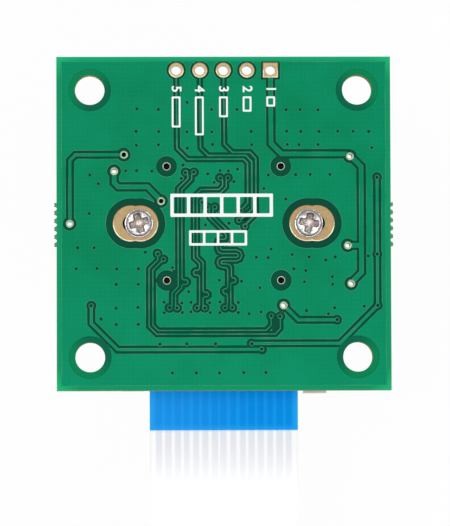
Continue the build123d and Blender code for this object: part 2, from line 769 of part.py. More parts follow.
# Slide lock: a bar across the mouth, a tongue over the cable, an ear and an arm at each end
bar_back = connector_front - slider_gap
bar_front = bar_back - slider_bar
stiffener_top = film_top + stiffener_thickness
tongue_low = stiffener_top + slider_gap
arm_x = housing_width / 2 + arm_gap
ear_outside = arm_x + arm_thickness
with BuildPart() as connector_slider:
    with BuildSketch(Plane.XY.offset(tongue_low)):
        with Locations((0, bar_front)):
            Rectangle(2 * ear_outside, slider_bar, align=(Align.CENTER, Align.MIN))
    extrude(amount=board_front - slider_top - tongue_low)
    with BuildSketch(Plane.XY.offset(tongue_low)):
        with Locations((0, bar_front)):
            Rectangle(
                cable_width, slider_bar + slider_gap + tongue_length,
                align=(Align.CENTER, Align.MIN),
            )
    extrude(amount=tongue_thickness)
    with BuildSketch(Plane.XY.offset(board_front - ear_bottom)):
        for side, reach in ((-1, ear_reach_left), (1, ear_reach_right)):
            turned = Align.MAX if side > 0 else Align.MIN
            with Locations((side * ear_outside, bar_back)):
                Rectangle(ear_width, slider_bar + reach, align=(turned, Align.MAX))
    extrude(amount=ear_bottom - slider_top)
    with BuildSketch(Plane.XY.offset(board_front - arm_bottom)):
        for side in sides:
            turned = Align.MAX if side > 0 else Align.MIN
            with Locations((side * ear_outside, bar_front)):
                Rectangle(arm_thickness, slider_bar + arm_length, align=(turned, Align.MIN))
    extrude(amount=arm_bottom - arm_top)
connector_slider.part.label = "connector_slider"
export_step(connector_slider.part, "parts/connector_slider.step")

# Flat cable: one band along its route, with the film cut back under both bare ends
bend_radii = []
for before, at, after in zip(cable_route, cable_route[1:], cable_route[2:]):
    first = (at[0] - before[0], at[1] - before[1])
    second = (after[0] - at[0], after[1] - at[1])
    turn = abs(atan2(second[1], second[0]) - atan2(first[1], first[0]))
    turn = min(turn, 2 * radians(180) - turn)
    bend_radii.append(bend_share * min(hypot(*first), hypot(*second)) / tan(turn / 2))
print("cable bend radii", [round(radius, 1) for radius in bend_radii])

with BuildLine() as cable_centre:
    FilletPolyline(*cable_route, radius=bend_radii)
cable_length = cable_centre.wire().length
cable_end = cable_centre.wire() @ 1
end_tangent = cable_centre.wire() % 1
print("cable length", round(cable_length, 2))

strip_area = (ways - 1) * way_pitch + strip_width
slope = Vector(0, end_tangent.X, end_tangent.Y)
end_plane = Plane(
    origin=(0, cable_end.X, cable_end.Y), x_dir=(1, 0, 0), z_dir=(0, slope.Z, -slope.Y)
)
start_plane = Plane(origin=(0, cable_route[0][0], cable_height))
# each end's plane, and which way its strips run along it
cable_ends = ((start_plane, Align.MAX), (end_plane, Align.MIN))

with BuildPart() as flat_cable:
    with BuildSketch(Plane.YZ.offset(-cable_width / 2)):
        trace(cable_centre.line, line_width=film_thickness)
    extrude(amount=cable_width)
    for plane, inward in cable_ends:
        with BuildSketch(plane.offset(-film_thickness / 2)):
            Rectangle(strip_area, strip_length, align=(Align.CENTER, inward))
        extrude(amount=strip_recess, mode=Mode.SUBTRACT)
flat_cable.part.label = "flat_cable"
export_step(flat_cable.part, "parts/flat_cable.step")
print("cable volume", round(flat_cable.part.volume, 2), "section times length",
      round(cable_length * cable_width * film_thickness
            - 2 * strip_area * strip_length * strip_recess, 2))

with BuildPart() as cable_contacts:
    for plane, inward in cable_ends:
        with BuildSketch(plane.offset(strip_recess - strip_thickness - film_thickness / 2)):
            with GridLocations(way_pitch, 0, ways, 1):
                Rectangle(strip_width, strip_length, align=(Align.CENTER, inward))
        extrude(amount=strip_thickness)
cable_contacts.part.label = "cable_contacts"
export_step(cable_contacts.part, "parts/cable_contacts.step")

with BuildPart() as near_stiffener:
    with BuildSketch(start_plane.offset(film_thickness / 2)):
        Rectangle(
            cable_width, cable_start + stiffener_beyond_edge, align=(Align.CENTER, Align.MAX)
        )
    extrude(amount=stiffener_thickness)
near_stiffener.part.label = "near_stiffener"
export_step(near_stiffener.part, "parts/near_stiffener.step")

with BuildPart() as far_stiffener:
    with BuildSketch(end_plane.offset(film_thickness / 2)):
        Rectangle(cable_width, far_stiffener_length, align=(Align.CENTER, Align.MIN))
    extrude(amount=stiffener_thickness)
far_stiffener.part.label = "far_stiffener"
export_step(far_stiffener.part, "parts/far_stiffener.step")


def make_block(place, size, low, high, shift=(0, 0)):
    # A block on the board's front: place is x, y and whether its length lies along Y
    x, y, along_y = place
    across = (0, 1, 0) if along_y else (1, 0, 0)
    floor = Plane(origin=(x, y, board_front - high), x_dir=across, z_dir=(0, 0, 1))
    with BuildSketch(floor) as outline:
        with Locations(shift):
            Rectangle(*size)
    return extrude(outline.sketch, amount=high - low, mode=Mode.PRIVATE)


# Voltage regulators, three legs on one side and two on the other
with BuildPart() as voltage_regulators:
    body_size = (regulator_length, regulator_width)
    body_top = regulator_lift + regulator_height
    add([make_block(place, body_size, regulator_lift, body_top) for place in regulators])
voltage_regulators.part.label = "voltage_regulators"
export_step(voltage_regulators.part, "parts/voltage_regulators.step")

leg_blocks = []
for place in regulators:
    for side, step in ((-1, -1), (-1, 0), (-1, 1), (1, -1), (1, 1)):
        stem_at = (step * leg_pitch, side * (regulator_width + leg_thickness) / 2)
        foot_at = (step * leg_pitch, side * (regulator_width + leg_reach) / 2)
        stem = (leg_width, leg_thickness)
        foot = (leg_width, leg_reach)
        leg_blocks.append(make_block(place, stem, 0, regulator_height / 2, stem_at))
        leg_blocks.append(make_block(place, foot, 0, leg_thickness, foot_at))
with BuildPart() as regulator_legs:
    add(leg_blocks)
regulator_legs.part.label = "regulator_legs"
export_step(regulator_legs.part, "parts/regulator_legs.step")

# Crystal: ceramic base with a metal can on it
with BuildPart() as crystal_base:
    add(make_block(crystal_place, (crystal_length, crystal_width), 0, crystal_base_height))
crystal_base.part.label = "crystal_base"
export_step(crystal_base.part, "parts/crystal_base.step")

with BuildPart() as crystal_can:
    can_size = (crystal_length - 2 * crystal_rim, crystal_width - 2 * crystal_rim)
    can_top = crystal_base_height + crystal_can_height
    add(make_block(crystal_place, can_size, crystal_base_height, can_top))
    fillet(crystal_can.edges().filter_by(Axis.Z), 2 * crystal_rim)
crystal_can.part.label = "crystal_can"
export_step(crystal_can.part, "parts/crystal_can.step")

# Capacitors and resistors, with the soldered ends of all of them
def make_chips(chips):
    blocks = []
    for place, (length, width, height) in chips:
        middle = (length - 2 * chip_end, width - 2 * chip_skin)
        blocks.append(make_block(place, middle, 0, height - chip_skin))
    return blocks


capacitor_chips = [((x, y, turned), capacitor_sizes[size]) for size, x, y, turned in capacitors]
resistor_chips = [(place, resistor_size) for place in resistors]

with BuildPart() as capacitor_bodies:
    add(make_chips(capacitor_chips))
capacitor_bodies.part.label = "capacitor_bodies"
export_step(capacitor_bodies.part, "parts/capacitor_bodies.step")

with BuildPart() as resistor_bodies:
    add(make_chips(resistor_chips))
resistor_bodies.part.label = "resistor_bodies"
export_step(resistor_bodies.part, "parts/resistor_bodies.step")

end_blocks = []
for place, (length, width, height) in capacitor_chips + resistor_chips:
    for side in sides:
        end_at = (side * (length - chip_end) / 2, 0)
        end_blocks.append(make_block(place, (chip_end, width), 0, height, end_at))
with BuildPart() as chip_ends:
    add(end_blocks)
chip_ends.part.label = "chip_ends"
export_step(chip_ends.part, "parts/chip_ends.step")
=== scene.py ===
import math
import random

import bmesh
import bpy
from mathutils import Matrix, Vector


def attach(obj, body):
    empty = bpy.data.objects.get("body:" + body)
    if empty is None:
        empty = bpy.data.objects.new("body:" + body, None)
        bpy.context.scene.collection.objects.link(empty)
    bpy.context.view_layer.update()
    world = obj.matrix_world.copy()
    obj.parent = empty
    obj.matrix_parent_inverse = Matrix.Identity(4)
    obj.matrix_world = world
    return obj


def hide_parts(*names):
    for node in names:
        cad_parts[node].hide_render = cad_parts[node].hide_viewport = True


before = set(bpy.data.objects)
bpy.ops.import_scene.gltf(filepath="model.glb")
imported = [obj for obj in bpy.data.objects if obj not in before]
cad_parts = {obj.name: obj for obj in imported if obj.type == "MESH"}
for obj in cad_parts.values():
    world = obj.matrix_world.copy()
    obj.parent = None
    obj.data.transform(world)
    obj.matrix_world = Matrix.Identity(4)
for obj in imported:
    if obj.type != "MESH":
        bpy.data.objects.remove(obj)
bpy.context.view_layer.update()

mm = 0.001
boardBack = 20.6
boardFront = 19.0
boardFaces = ((1, boardBack), (-1, boardFront))
sides = (-1, 1)
scene = bpy.context.scene

cameraFacts = {
    "distance": 540,  # millimetres from the board's back
    "focal": 343.5,
    "sensor": 36,
    "aim": (0.11, -4.28, 20.6),
    "towardCable": 3.0,  # degrees off straight down
    "towardLeft": 1.5,
    "roll": 0.2,
    "clip": (0.01, 20),  # metres
}


def placeCamera(facts):
    data = bpy.data.cameras.new("photoCamera")
    data.lens = facts["focal"]
    data.sensor_fit = "VERTICAL"
    data.sensor_height = facts["sensor"]
    data.clip_start, data.clip_end = facts["clip"]
    camera = bpy.data.objects.new("photoCamera", data)
    scene.collection.objects.link(camera)
    down = math.sin(math.radians(facts["towardCable"]))
    left = math.sin(math.radians(facts["towardLeft"]))
    toCamera = Vector((-left, -down, 1)).normalized()
    right = Vector((0, 1, 0)).cross(toCamera).normalized()
    up = toCamera.cross(right)
    turn = Matrix((right, up, toCamera)).transposed().to_4x4()
    place = (Vector(facts["aim"]) + facts["distance"] * toCamera) * mm
    roll = Matrix.Rotation(math.radians(-facts["roll"]), 4, "Z")
    camera.matrix_world = Matrix.Translation(place) @ turn @ roll
    scene.camera = camera


placeCamera(cameraFacts)


def addNode(tree, kind, inputs=None, **settings):
    node = tree.nodes.new(kind)
    for key, value in settings.items():
        setattr(node, key, value)
    for key, value in (inputs or {}).items():
        if isinstance(value, bpy.types.NodeSocket):
            tree.links.new(value, node.inputs[key])
        else:
            node.inputs[key].default_value = value
    return node


def linearColour(red, green, blue):
    # A colour as it is seen, 0 to 255, as Blender's nodes take it
    parts = []
    for part in (red, green, blue):
        share = part / 255
        parts.append(share / 12.92 if share < 0.04045 else ((share + 0.055) / 1.055) ** 2.4)
    return (*parts, 1)


def calc(tree, operation, first, second=0.0, third=0.0):
    facts = {0: first, 1: second, 2: third}
    return addNode(tree, "ShaderNodeMath", facts, operation=operation).outputs[0]


def vectorCalc(tree, operation, first, second=(0, 0, 0)):
    node = addNode(tree, "ShaderNodeVectorMath", {0: first, 1: second}, operation=operation)
    return node.outputs["Value" if operation in ("LENGTH", "DOT_PRODUCT") else "Vector"]


def objectPlace(tree):
    return addNode(tree, "ShaderNodeTexCoord").outputs["Object"]


def splitPlace(tree, place):
    return addNode(tree, "ShaderNodeSeparateXYZ", {0: place}).outputs[:]


def mixColours(tree, share, first, second, blend="MIX"):
    # A colour is a socket, or three numbers as it is seen, or four as Blender takes it
    first, second = (
        linearColour(*one) if isinstance(one, tuple) and len(one) == 3 else one
        for one in (first, second)
    )
    facts = {0: share, 6: first, 7: second}
    return addNode(tree, "ShaderNodeMix", facts, data_type="RGBA", blend_type=blend).outputs[2]


def remap(tree, value, low, high, first=0.0, second=1.0, kind="LINEAR"):
    facts = {0: value, 1: low, 2: high, 3: first, 4: second}
    return addNode(tree, "ShaderNodeMapRange", facts, interpolation_type=kind).outputs[0]


def remapAt(tree, value, span, first=0.0, second=1.0, kind="LINEAR"):
    # As remap, with the span in millimetres
    return remap(tree, value, span[0] * mm, span[1] * mm, first, second, kind)


def spread(tree, noise, low=0.0, high=1.0):
    # Noise keeps near its middle, so its middle part takes the whole range
    return remap(tree, noise, 0.3, 0.7, low, high)


def finishShader(tree, shader, colour, rough, height=None, strength=0.5, depth=0.004, specular=0.5):
    # The depth of the relief is in millimetres
    tree.links.new(colour, shader.inputs["Base Color"])
    tree.links.new(rough, shader.inputs["Roughness"])
    shader.inputs["Specular IOR Level"].default_value = specular
    if height is not None:
        facts = {"Strength": strength, "Distance": depth * mm, "Height": height}
        bump = addNode(tree, "ShaderNodeBump", facts)
        tree.links.new(bump.outputs[0], shader.inputs["Normal"])


def finishPiece(mesh, name, material, body="module"):
    piece = bpy.data.objects.new(name, mesh)
    scene.collection.objects.link(piece)
    mesh.materials.clear()
    mesh.materials.append(material)
    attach(piece, body)
    return piece


def weld(bm, distance):
    bmesh.ops.remove_doubles(bm, verts=bm.verts, dist=distance)
    bmesh.ops.recalc_face_normals(bm, faces=bm.faces)


def meshFrom(bm, name):
    bmesh.ops.scale(bm, vec=(mm, mm, mm), verts=bm.verts)
    mesh = bpy.data.meshes.new(name)
    bm.to_mesh(mesh)
    bm.free()
    return mesh


def closePiece(bm, name, material, body="module"):
    piece = finishPiece(meshFrom(bm, name), name, material, body)
    print(name, "made,", len(piece.data.polygons), "faces")
    return piece


def meshFromCurve(curve):
    # A curve or text as a mesh, with the curve's object taken away again
    holder = bpy.data.objects.new("curveHolder", curve)
    scene.collection.objects.link(holder)
    bpy.context.view_layer.update()
    graph = bpy.context.evaluated_depsgraph_get()
    mesh = bpy.data.meshes.new_from_object(holder.evaluated_get(graph))
    bpy.data.objects.remove(holder)
    return mesh


def addSpline(curve, kind, places):
    spline = curve.splines.new(kind)
    spline.points.add(len(places) - 1)
    for point, place in zip(spline.points, places):
        point.co = (*place, 1)
    return spline


def takeIn(whole, mesh):
    whole.from_mesh(mesh)
    bpy.data.meshes.remove(mesh)


def joinInto(whole, bm):
    part = bpy.data.meshes.new("part")
    bm.to_mesh(part)
    bm.free()
    takeIn(whole, part)


cableFacts = {
    "width": 16.0,
    "thickness": 0.2,
    "strips": 15,
    "pitch": 1.0,
    "stripWidth": 0.66,
    "stripWander": 0.4,
    "stripRise": 0.012,
    "stripSlope": 0.06,
    "steps": 16,  # points to a stretch of the curve
    "join": 0.001,
    # the route's corners as in the CAD part, and one more where the stiffener ends
    "route": [
        (-14.5, 17.6), (-24.5, 17.6), (-28.0, 17.6), (-41.3, 13.0), (-54.0, 4.2),
        (-68.2, -0.1), (-98.0, 1.0), (-130.0, 1.3), (-160.0, 0.12),
    ],
}


def cableCurve(facts):
    curve = bpy.data.curves.new("cableLine", "CURVE")
    curve.dimensions = "3D"
    curve.twist_mode = "Z_UP"
    curve.resolution_u = facts["steps"]
    places = [(0, along * mm, height * mm) for along, height in facts["route"]]
    spline = addSpline(curve, "NURBS", places)
    spline.order_u = 3
    spline.use_endpoint_u = True
    return curve


def filmProfile(facts):
    # The film's section: flat, and slightly raised over each conductor
    half = facts["width"] / 2
    top = facts["thickness"] / 2
    reach = facts["stripWidth"] / 2
    centres = [facts["pitch"] * (i - facts["strips"] // 2) for i in range(facts["strips"])]
    upper = [(-half, top)]
    rise = top + facts["stripRise"]
    slope = facts["stripSlope"]
    for centre in centres:
        upper += [(centre - reach - slope, top), (centre - reach, rise)]
        upper += [(centre + reach, rise), (centre + reach + slope, top)]
    upper.append((half, top))
    outline = upper + [(half, -top), (-half, -top)]
    profile = bpy.data.curves.new("filmProfile", "CURVE")
    profile.dimensions = "2D"
    places = [(across * mm, height * mm, 0) for across, height in outline]
    spline = addSpline(profile, "POLY", places)
    spline.use_cyclic_u = True
    holder = bpy.data.objects.new("filmProfile", profile)
    scene.collection.objects.link(holder)
    return holder


def makeCable(facts, material):
    line = meshFromCurve(cableCurve(facts))
    curve = cableCurve(facts)
    curve.bevel_mode = "OBJECT"
    curve.bevel_object = filmProfile(facts)
    curve.use_fill_caps = True
    mesh = meshFromCurve(curve)
    bpy.data.objects.remove(curve.bevel_object)
    bm = bmesh.new()
    bm.from_mesh(mesh)
    weld(bm, facts["join"] * mm)
    bm.to_mesh(mesh)
    bm.free()
    ribbon = finishPiece(mesh, "cableRibbon", material, "module")
    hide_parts("flat_cable")


def newGroup(name, inputs, outputs):
    group = bpy.data.node_groups.new(name, "ShaderNodeTree")
    for label, kind, value in inputs:
        socket = group.interface.new_socket(label, in_out="INPUT", socket_type=kind)
        socket.default_value = value
    for label, kind in outputs:
        group.interface.new_socket(label, in_out="OUTPUT", socket_type=kind)
    entry = group.nodes.new("NodeGroupInput")
    leave = group.nodes.new("NodeGroupOutput")
    return group, entry, leave


def makeMottleGroup():
    # Broad and fine noise, for colour variation, roughness and grain
    group, entry, leave = newGroup(
        "mottle",
        [
            ("Coarse Scale", "NodeSocketFloat", 400),
            ("Fine Scale", "NodeSocketFloat", 9000),
            ("Stretch", "NodeSocketVector", (1, 1, 1)),
        ],
        [("Coarse", "NodeSocketFloat"), ("Fine", "NodeSocketFloat")],
    )
    place = vectorCalc(group, "MULTIPLY", objectPlace(group), entry.outputs["Stretch"])
    for scale, label, detail in (("Coarse Scale", "Coarse", 3), ("Fine Scale", "Fine", 2)):
        facts = {"Vector": place, "Scale": entry.outputs[scale], "Detail": detail}
        noise = addNode(group, "ShaderNodeTexNoise", facts)
        group.links.new(noise.outputs["Fac"], leave.inputs[label])
    return group


def makeEdgeWearAndHighlightGroup():
    # 1 along sharp edges, broken up by noise, 0 on flat faces, for edge wear and a painted
    # highlight; and which way the edge leans
    group, entry, leave = newGroup(
        "edgeWearAndHighlight",
        [
            ("Radius", "NodeSocketFloat", 0.00008),
            ("Break Scale", "NodeSocketFloat", 2500),
            ("Full At", "NodeSocketFloat", 0.78),
        ],
        [("Mask", "NodeSocketFloat"), ("Lean", "NodeSocketVector")],
    )
    bevel = addNode(group, "ShaderNodeBevel", {"Radius": entry.outputs["Radius"]}, samples=6)
    normal = addNode(group, "ShaderNodeNewGeometry").outputs["Normal"]
    same = vectorCalc(group, "DOT_PRODUCT", bevel.outputs[0], normal)
    edge = remap(group, same, 0.99, entry.outputs["Full At"])
    facts = {"Vector": objectPlace(group), "Scale": entry.outputs["Break Scale"]}
    noise = addNode(group, "ShaderNodeTexNoise", facts)
    patchy = remap(group, noise.outputs["Fac"], 0.35, 0.65, 0.35, 1)
    group.links.new(calc(group, "MULTIPLY", edge, patchy), leave.inputs["Mask"])
    group.links.new(bevel.outputs[0], leave.inputs["Lean"])
    return group


mottle = makeMottleGroup()
edgeWearAndHighlight = makeEdgeWearAndHighlightGroup()


def placeGroup(tree, group, inputs):
    return addNode(tree, "ShaderNodeGroup", inputs, node_tree=group)


def placeMottle(tree, coarse, fine, stretch=(1, 1, 1)):
    inputs = {"Coarse Scale": coarse, "Fine Scale": fine, "Stretch": stretch}
    outputs = placeGroup(tree, mottle, inputs).outputs
    return outputs["Coarse"], outputs["Fine"]


def noiseTone(tree, coarse, fine, fineShare):
    return calc(tree, "ADD", coarse, calc(tree, "MULTIPLY_ADD", fine, fineShare, -fineShare / 2))


def newMaterial(name):
    material = bpy.data.materials.new(name)
    material.use_nodes = True
    tree = material.node_tree
    return material, tree, tree.nodes["Principled BSDF"]


# Lengths in millimetres; coarse and fine are how close the two noises are
plainFacts = {
    "colour": (128, 128, 128),
    "darker": 0.8,  # the other colour of the mottling, as a share of the main one
    "edgeColour": None,
    "edgeRadius": 0.06,
    "edgeShare": 0.6,
    "coarse": 500,
    "fine": 9000,
    "stretch": (1, 1, 1),
    "metallic": 0.0,
    "roughness": (0.4, 0.55),
    "bump": 0.004,
    "specular": 0.5,
}


def plainMaterial(name, **changes):
    # Mottled colour and roughness, fine grain, and edges painted paler, as wear and as a painted
    # highlight
    facts = {**plainFacts, **changes}
    material, tree, shader = newMaterial(name)
    coarse, fine = placeMottle(tree, facts["coarse"], facts["fine"], facts["stretch"])
    main = linearColour(*facts["colour"])
    dark = (*(part * facts["darker"] for part in main[:3]), 1)
    colour = mixColours(tree, spread(tree, noiseTone(tree, coarse, fine, 0.4)), dark, main)
    # edges are painted paler: wear, and a painted highlight
    if facts["edgeColour"]:
        edge = placeGroup(tree, edgeWearAndHighlight, {"Radius": facts["edgeRadius"] * mm}).outputs["Mask"]
        share = calc(tree, "MULTIPLY", edge, facts["edgeShare"])
        colour = mixColours(tree, share, colour, facts["edgeColour"])
    rough = spread(tree, coarse, *facts["roughness"])
    finishShader(tree, shader, colour, rough, fine, 0.6, facts["bump"], facts["specular"])
    shader.inputs["Metallic"].default_value = facts["metallic"]
    return material


maskShine = {"strength": 0.5, "depth": 0.004, "specular": 0.07}
# Lengths in millimetres; a span is where one colour passes into the next
boardFacts = {
    "pour": (0, 140, 97),
    "pourDark": (0, 132, 88),
    "pourLit": (4, 150, 108),
    "litSpan": (-5.0, -18.0),
    "litShare": 0.45,
    "gap": (0, 75, 55),
    "gapDepth": 0.01,
    "margin": (10, 150, 99),
    "marginFrom": 17.49,
    # where the margin has another colour; the lighter top is painted light and the lighter corners a
    # painted highlight
    "top": (18, 166, 116),
    "topSpan": (17.2, 17.8),
    "cornerHighlight": (24, 182, 116),
    "cornerHighlightSpan": (15.5, 17.8),
    "stub": (98, 144, 110),
    "stubSpan": (17.95, 18.05),
    "cornerInset": 14.4,
    "cornerRing": (0, 130, 80),
    "cornerRingLow": (0, 100, 72),
    "ringReach": 2.28,
    "ringSpan": (1.4, -1.8),
    "locatingDisc": (0, 78, 55),
    "locatingOffset": 6.15,
    "discReach": 1.08,
    "glass": (188, 158, 104),
    "glassDark": (158, 132, 84),
    "wallDepth": 0.06,
    "layerScale": 1100,
    "weaveScale": 640,
    "weaveShare": 0.1,
}


def discMask(tree, place, offset, reach):
    # 1 inside a circle of that reach round the four places (+-offset, +-offset)
    folded = vectorCalc(tree, "ABSOLUTE", place)
    moved = vectorCalc(tree, "SUBTRACT", folded, (offset * mm, offset * mm, 0))
    flat = vectorCalc(tree, "MULTIPLY", moved, (1, 1, 0))
    return calc(tree, "LESS_THAN", vectorCalc(tree, "LENGTH", flat), reach * mm)


def clothWeave(tree, place, scale):
    weave = None
    for direction in ("X", "Y"):
        bands = addNode(
            tree,
            "ShaderNodeTexWave",
            {"Vector": place, "Scale": scale, "Distortion": 0.6, "Detail": 1},
            bands_direction=direction,
        ).outputs["Fac"]
        weave = bands if weave is None else calc(tree, "MULTIPLY", weave, bands)
    return weave


def boardMaterial(facts):
    material, tree, shader = newMaterial("solderMask")
    place = objectPlace(tree)
    x, y, z = splitPlace(tree, place)
    across, along = calc(tree, "ABSOLUTE", x), calc(tree, "ABSOLUTE", y)
    middle = (boardBack + boardFront) / 2 * mm
    inside = calc(tree, "ABSOLUTE", calc(tree, "SUBTRACT", z, middle))
    depth = calc(tree, "SUBTRACT", (boardBack - boardFront) / 2 * mm, inside)
    inGap = calc(tree, "GREATER_THAN", depth, facts["gapDepth"] * mm)
    inWall = calc(tree, "GREATER_THAN", depth, facts["wallDepth"] * mm)
    coarse, fine = placeMottle(tree, 260, 5200)
    tone = remap(tree, noiseTone(tree, coarse, fine, 0.5), 0.35, 0.65)
    pour = mixColours(tree, tone, facts["pourDark"], facts["pour"])
    # the light falls off from the cable's side to the other
    lit = remapAt(tree, y, facts["litSpan"], 0, facts["litShare"])
    pour = mixColours(tree, lit, pour, facts["pourLit"])
    nearer = calc(tree, "MINIMUM", across, along)
    margin = facts["margin"]
    # the margin is painted lighter along the top and at the corners: painted light
    for value, label in ((y, "top"), (nearer, "cornerHighlight"), (across, "stub")):
        share = remapAt(tree, value, facts[label + "Span"])
        margin = mixColours(tree, share, margin, facts[label])
    reach = calc(tree, "MAXIMUM", across, along)
    inMargin = calc(tree, "GREATER_THAN", reach, facts["marginFrom"] * mm)
    gap = mixColours(tree, inMargin, facts["gap"], margin)
    # the bare rings are darker and bluer on the side of the board's middle
    inset = facts["cornerInset"]
    away = calc(tree, "SUBTRACT", calc(tree, "ADD", across, along), 2 * inset * mm)
    lower = remapAt(tree, away, facts["ringSpan"])
    ring = mixColours(tree, lower, facts["cornerRing"], facts["cornerRingLow"])
    gap = mixColours(tree, discMask(tree, place, inset, facts["ringReach"]), gap, ring)
    disc = discMask(tree, place, facts["locatingOffset"], facts["discReach"])
    gap = mixColours(tree, disc, gap, facts["locatingDisc"])
    colour = mixColours(tree, inGap, pour, gap)
    # the cut edge shows glass cloth in layers
    layers = addNode(
        tree,
        "ShaderNodeTexWave",
        {
            "Vector": place, "Scale": facts["layerScale"],
            "Distortion": 3, "Detail": 2, "Detail Scale": 2,
        },
        bands_direction="Z",
    ).outputs["Fac"]
    glass = mixColours(tree, layers, facts["glassDark"], facts["glass"])
    colour = mixColours(tree, inWall, colour, glass)
    # the weave of the cloth shows through the mask
    weave = clothWeave(tree, place, facts["weaveScale"])
    shade = remap(tree, weave, 0, 1, 0, facts["weaveShare"])
    colour = mixColours(tree, shade, colour, (255, 255, 255), "SOFT_LIGHT")
    rough = calc(tree, "MULTIPLY_ADD", inWall, 0.35, spread(tree, coarse, 0.34, 0.46))
    relief = calc(tree, "MULTIPLY_ADD", weave, 0.6, fine)
    finishShader(tree, shader, colour, rough, relief, **maskShine)
    return material


rimFacts = {
    "width": 0.1,
    "rise": 0.006,
    "dark": (0, 80, 57),
    "light": (76, 158, 122),
    "outline": (44, 160, 116),
    "ringLine": (2, 128, 88),
    "ringLight": (14, 142, 102),
    "outlineFrom": 17.3,
    "ringReach": 2.5,
    "level": 0.002,  # how far a corner of the copper may be off its level
    "join": 0.0002,
}


def planPlace(vertex):
    return round(vertex.co.x, 3), round(vertex.co.y, 3)


def makeMaskRims(facts, material):
    # The mask runs down at each edge of the copper: strips whose attribute is 1 at that edge
    rims = bmesh.new()
    for side, level in boardFaces:
        bm = bmesh.new()
        bm.from_mesh(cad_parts["circuit_board"].data)
        bmesh.ops.scale(bm, vec=(1 / mm, 1 / mm, 1 / mm), verts=bm.verts)
        bmesh.ops.remove_doubles(bm, verts=bm.verts, dist=facts["join"])
        spare = [
            face
            for face in bm.faces
            if face.normal.z * side < 0.9
            or any(abs(vertex.co.z - level) > facts["level"] for vertex in face.verts)
        ]
        bmesh.ops.delete(bm, geom=spare, context="FACES")
        outline = {planPlace(vertex) for vertex in bm.verts if vertex.is_boundary}
        strips = bmesh.ops.inset_region(
            bm, faces=bm.faces[:], thickness=facts["width"], use_boundary=True
        )["faces"]
        inner = set(bm.faces) - set(strips)
        bmesh.ops.delete(bm, geom=list(inner), context="FACES")
        atEdge = bm.verts.layers.float.new("atEdge")
        for vertex in bm.verts:
            vertex[atEdge] = planPlace(vertex) in outline
        lifted = bmesh.ops.extrude_face_region(bm, geom=bm.faces[:])["geom"]
        lifted = [one for one in lifted if isinstance(one, bmesh.types.BMVert)]
        bmesh.ops.translate(bm, verts=lifted, vec=(0, 0, side * facts["rise"]))
        bmesh.ops.recalc_face_normals(bm, faces=bm.faces)
        joinInto(rims, bm)
    closePiece(rims, "maskRims", material)


def rimMaterial(facts):
    # Dark at the copper's edge, then a light line that fades into the pour
    material, tree, shader = newMaterial("maskRim")
    edge = addNode(tree, "ShaderNodeAttribute", attribute_name="atEdge").outputs["Fac"]
    coarse, fine = placeMottle(tree, 600, 7000)
    light = mixColours(tree, remap(tree, coarse, 0.35, 0.65), boardFacts["pour"], facts["light"])
    # along the board's outline and round the corner holes the line isn't dark
    place = objectPlace(tree)
    x, y = splitPlace(tree, place)[:2]
    reach = calc(tree, "MAXIMUM", calc(tree, "ABSOLUTE", x), calc(tree, "ABSOLUTE", y))
    outside = calc(tree, "GREATER_THAN", reach, facts["outlineFrom"] * mm)
    atRing = discMask(tree, place, boardFacts["cornerInset"], facts["ringReach"])
    line = mixColours(tree, outside, facts["dark"], facts["outline"])
    line = mixColours(tree, atRing, line, facts["ringLine"])
    light = mixColours(tree, atRing, light, facts["ringLight"])
    colour = mixColours(tree, remap(tree, edge, 0.42, 0.6), light, line)
    finishShader(tree, shader, colour, spread(tree, coarse, 0.34, 0.46), fine, **maskShine)
    return material


tentFacts = {
    "pit": 0.115,
    "rim": 0.195,
    "reach": 0.29,
    "rise": 0.012,
    "corners": 12,
    "sealedGrowth": 1.1,
    "wobble": (0.7, 1.2),
    "drift": 0.03,
    "seed": 11,
    "rimTone": 0.7,
    "ring": ((0, 112, 78), (60, 152, 120)),
    "outer": (4, 137, 93),
    "centre": (0, 50, 35),
}
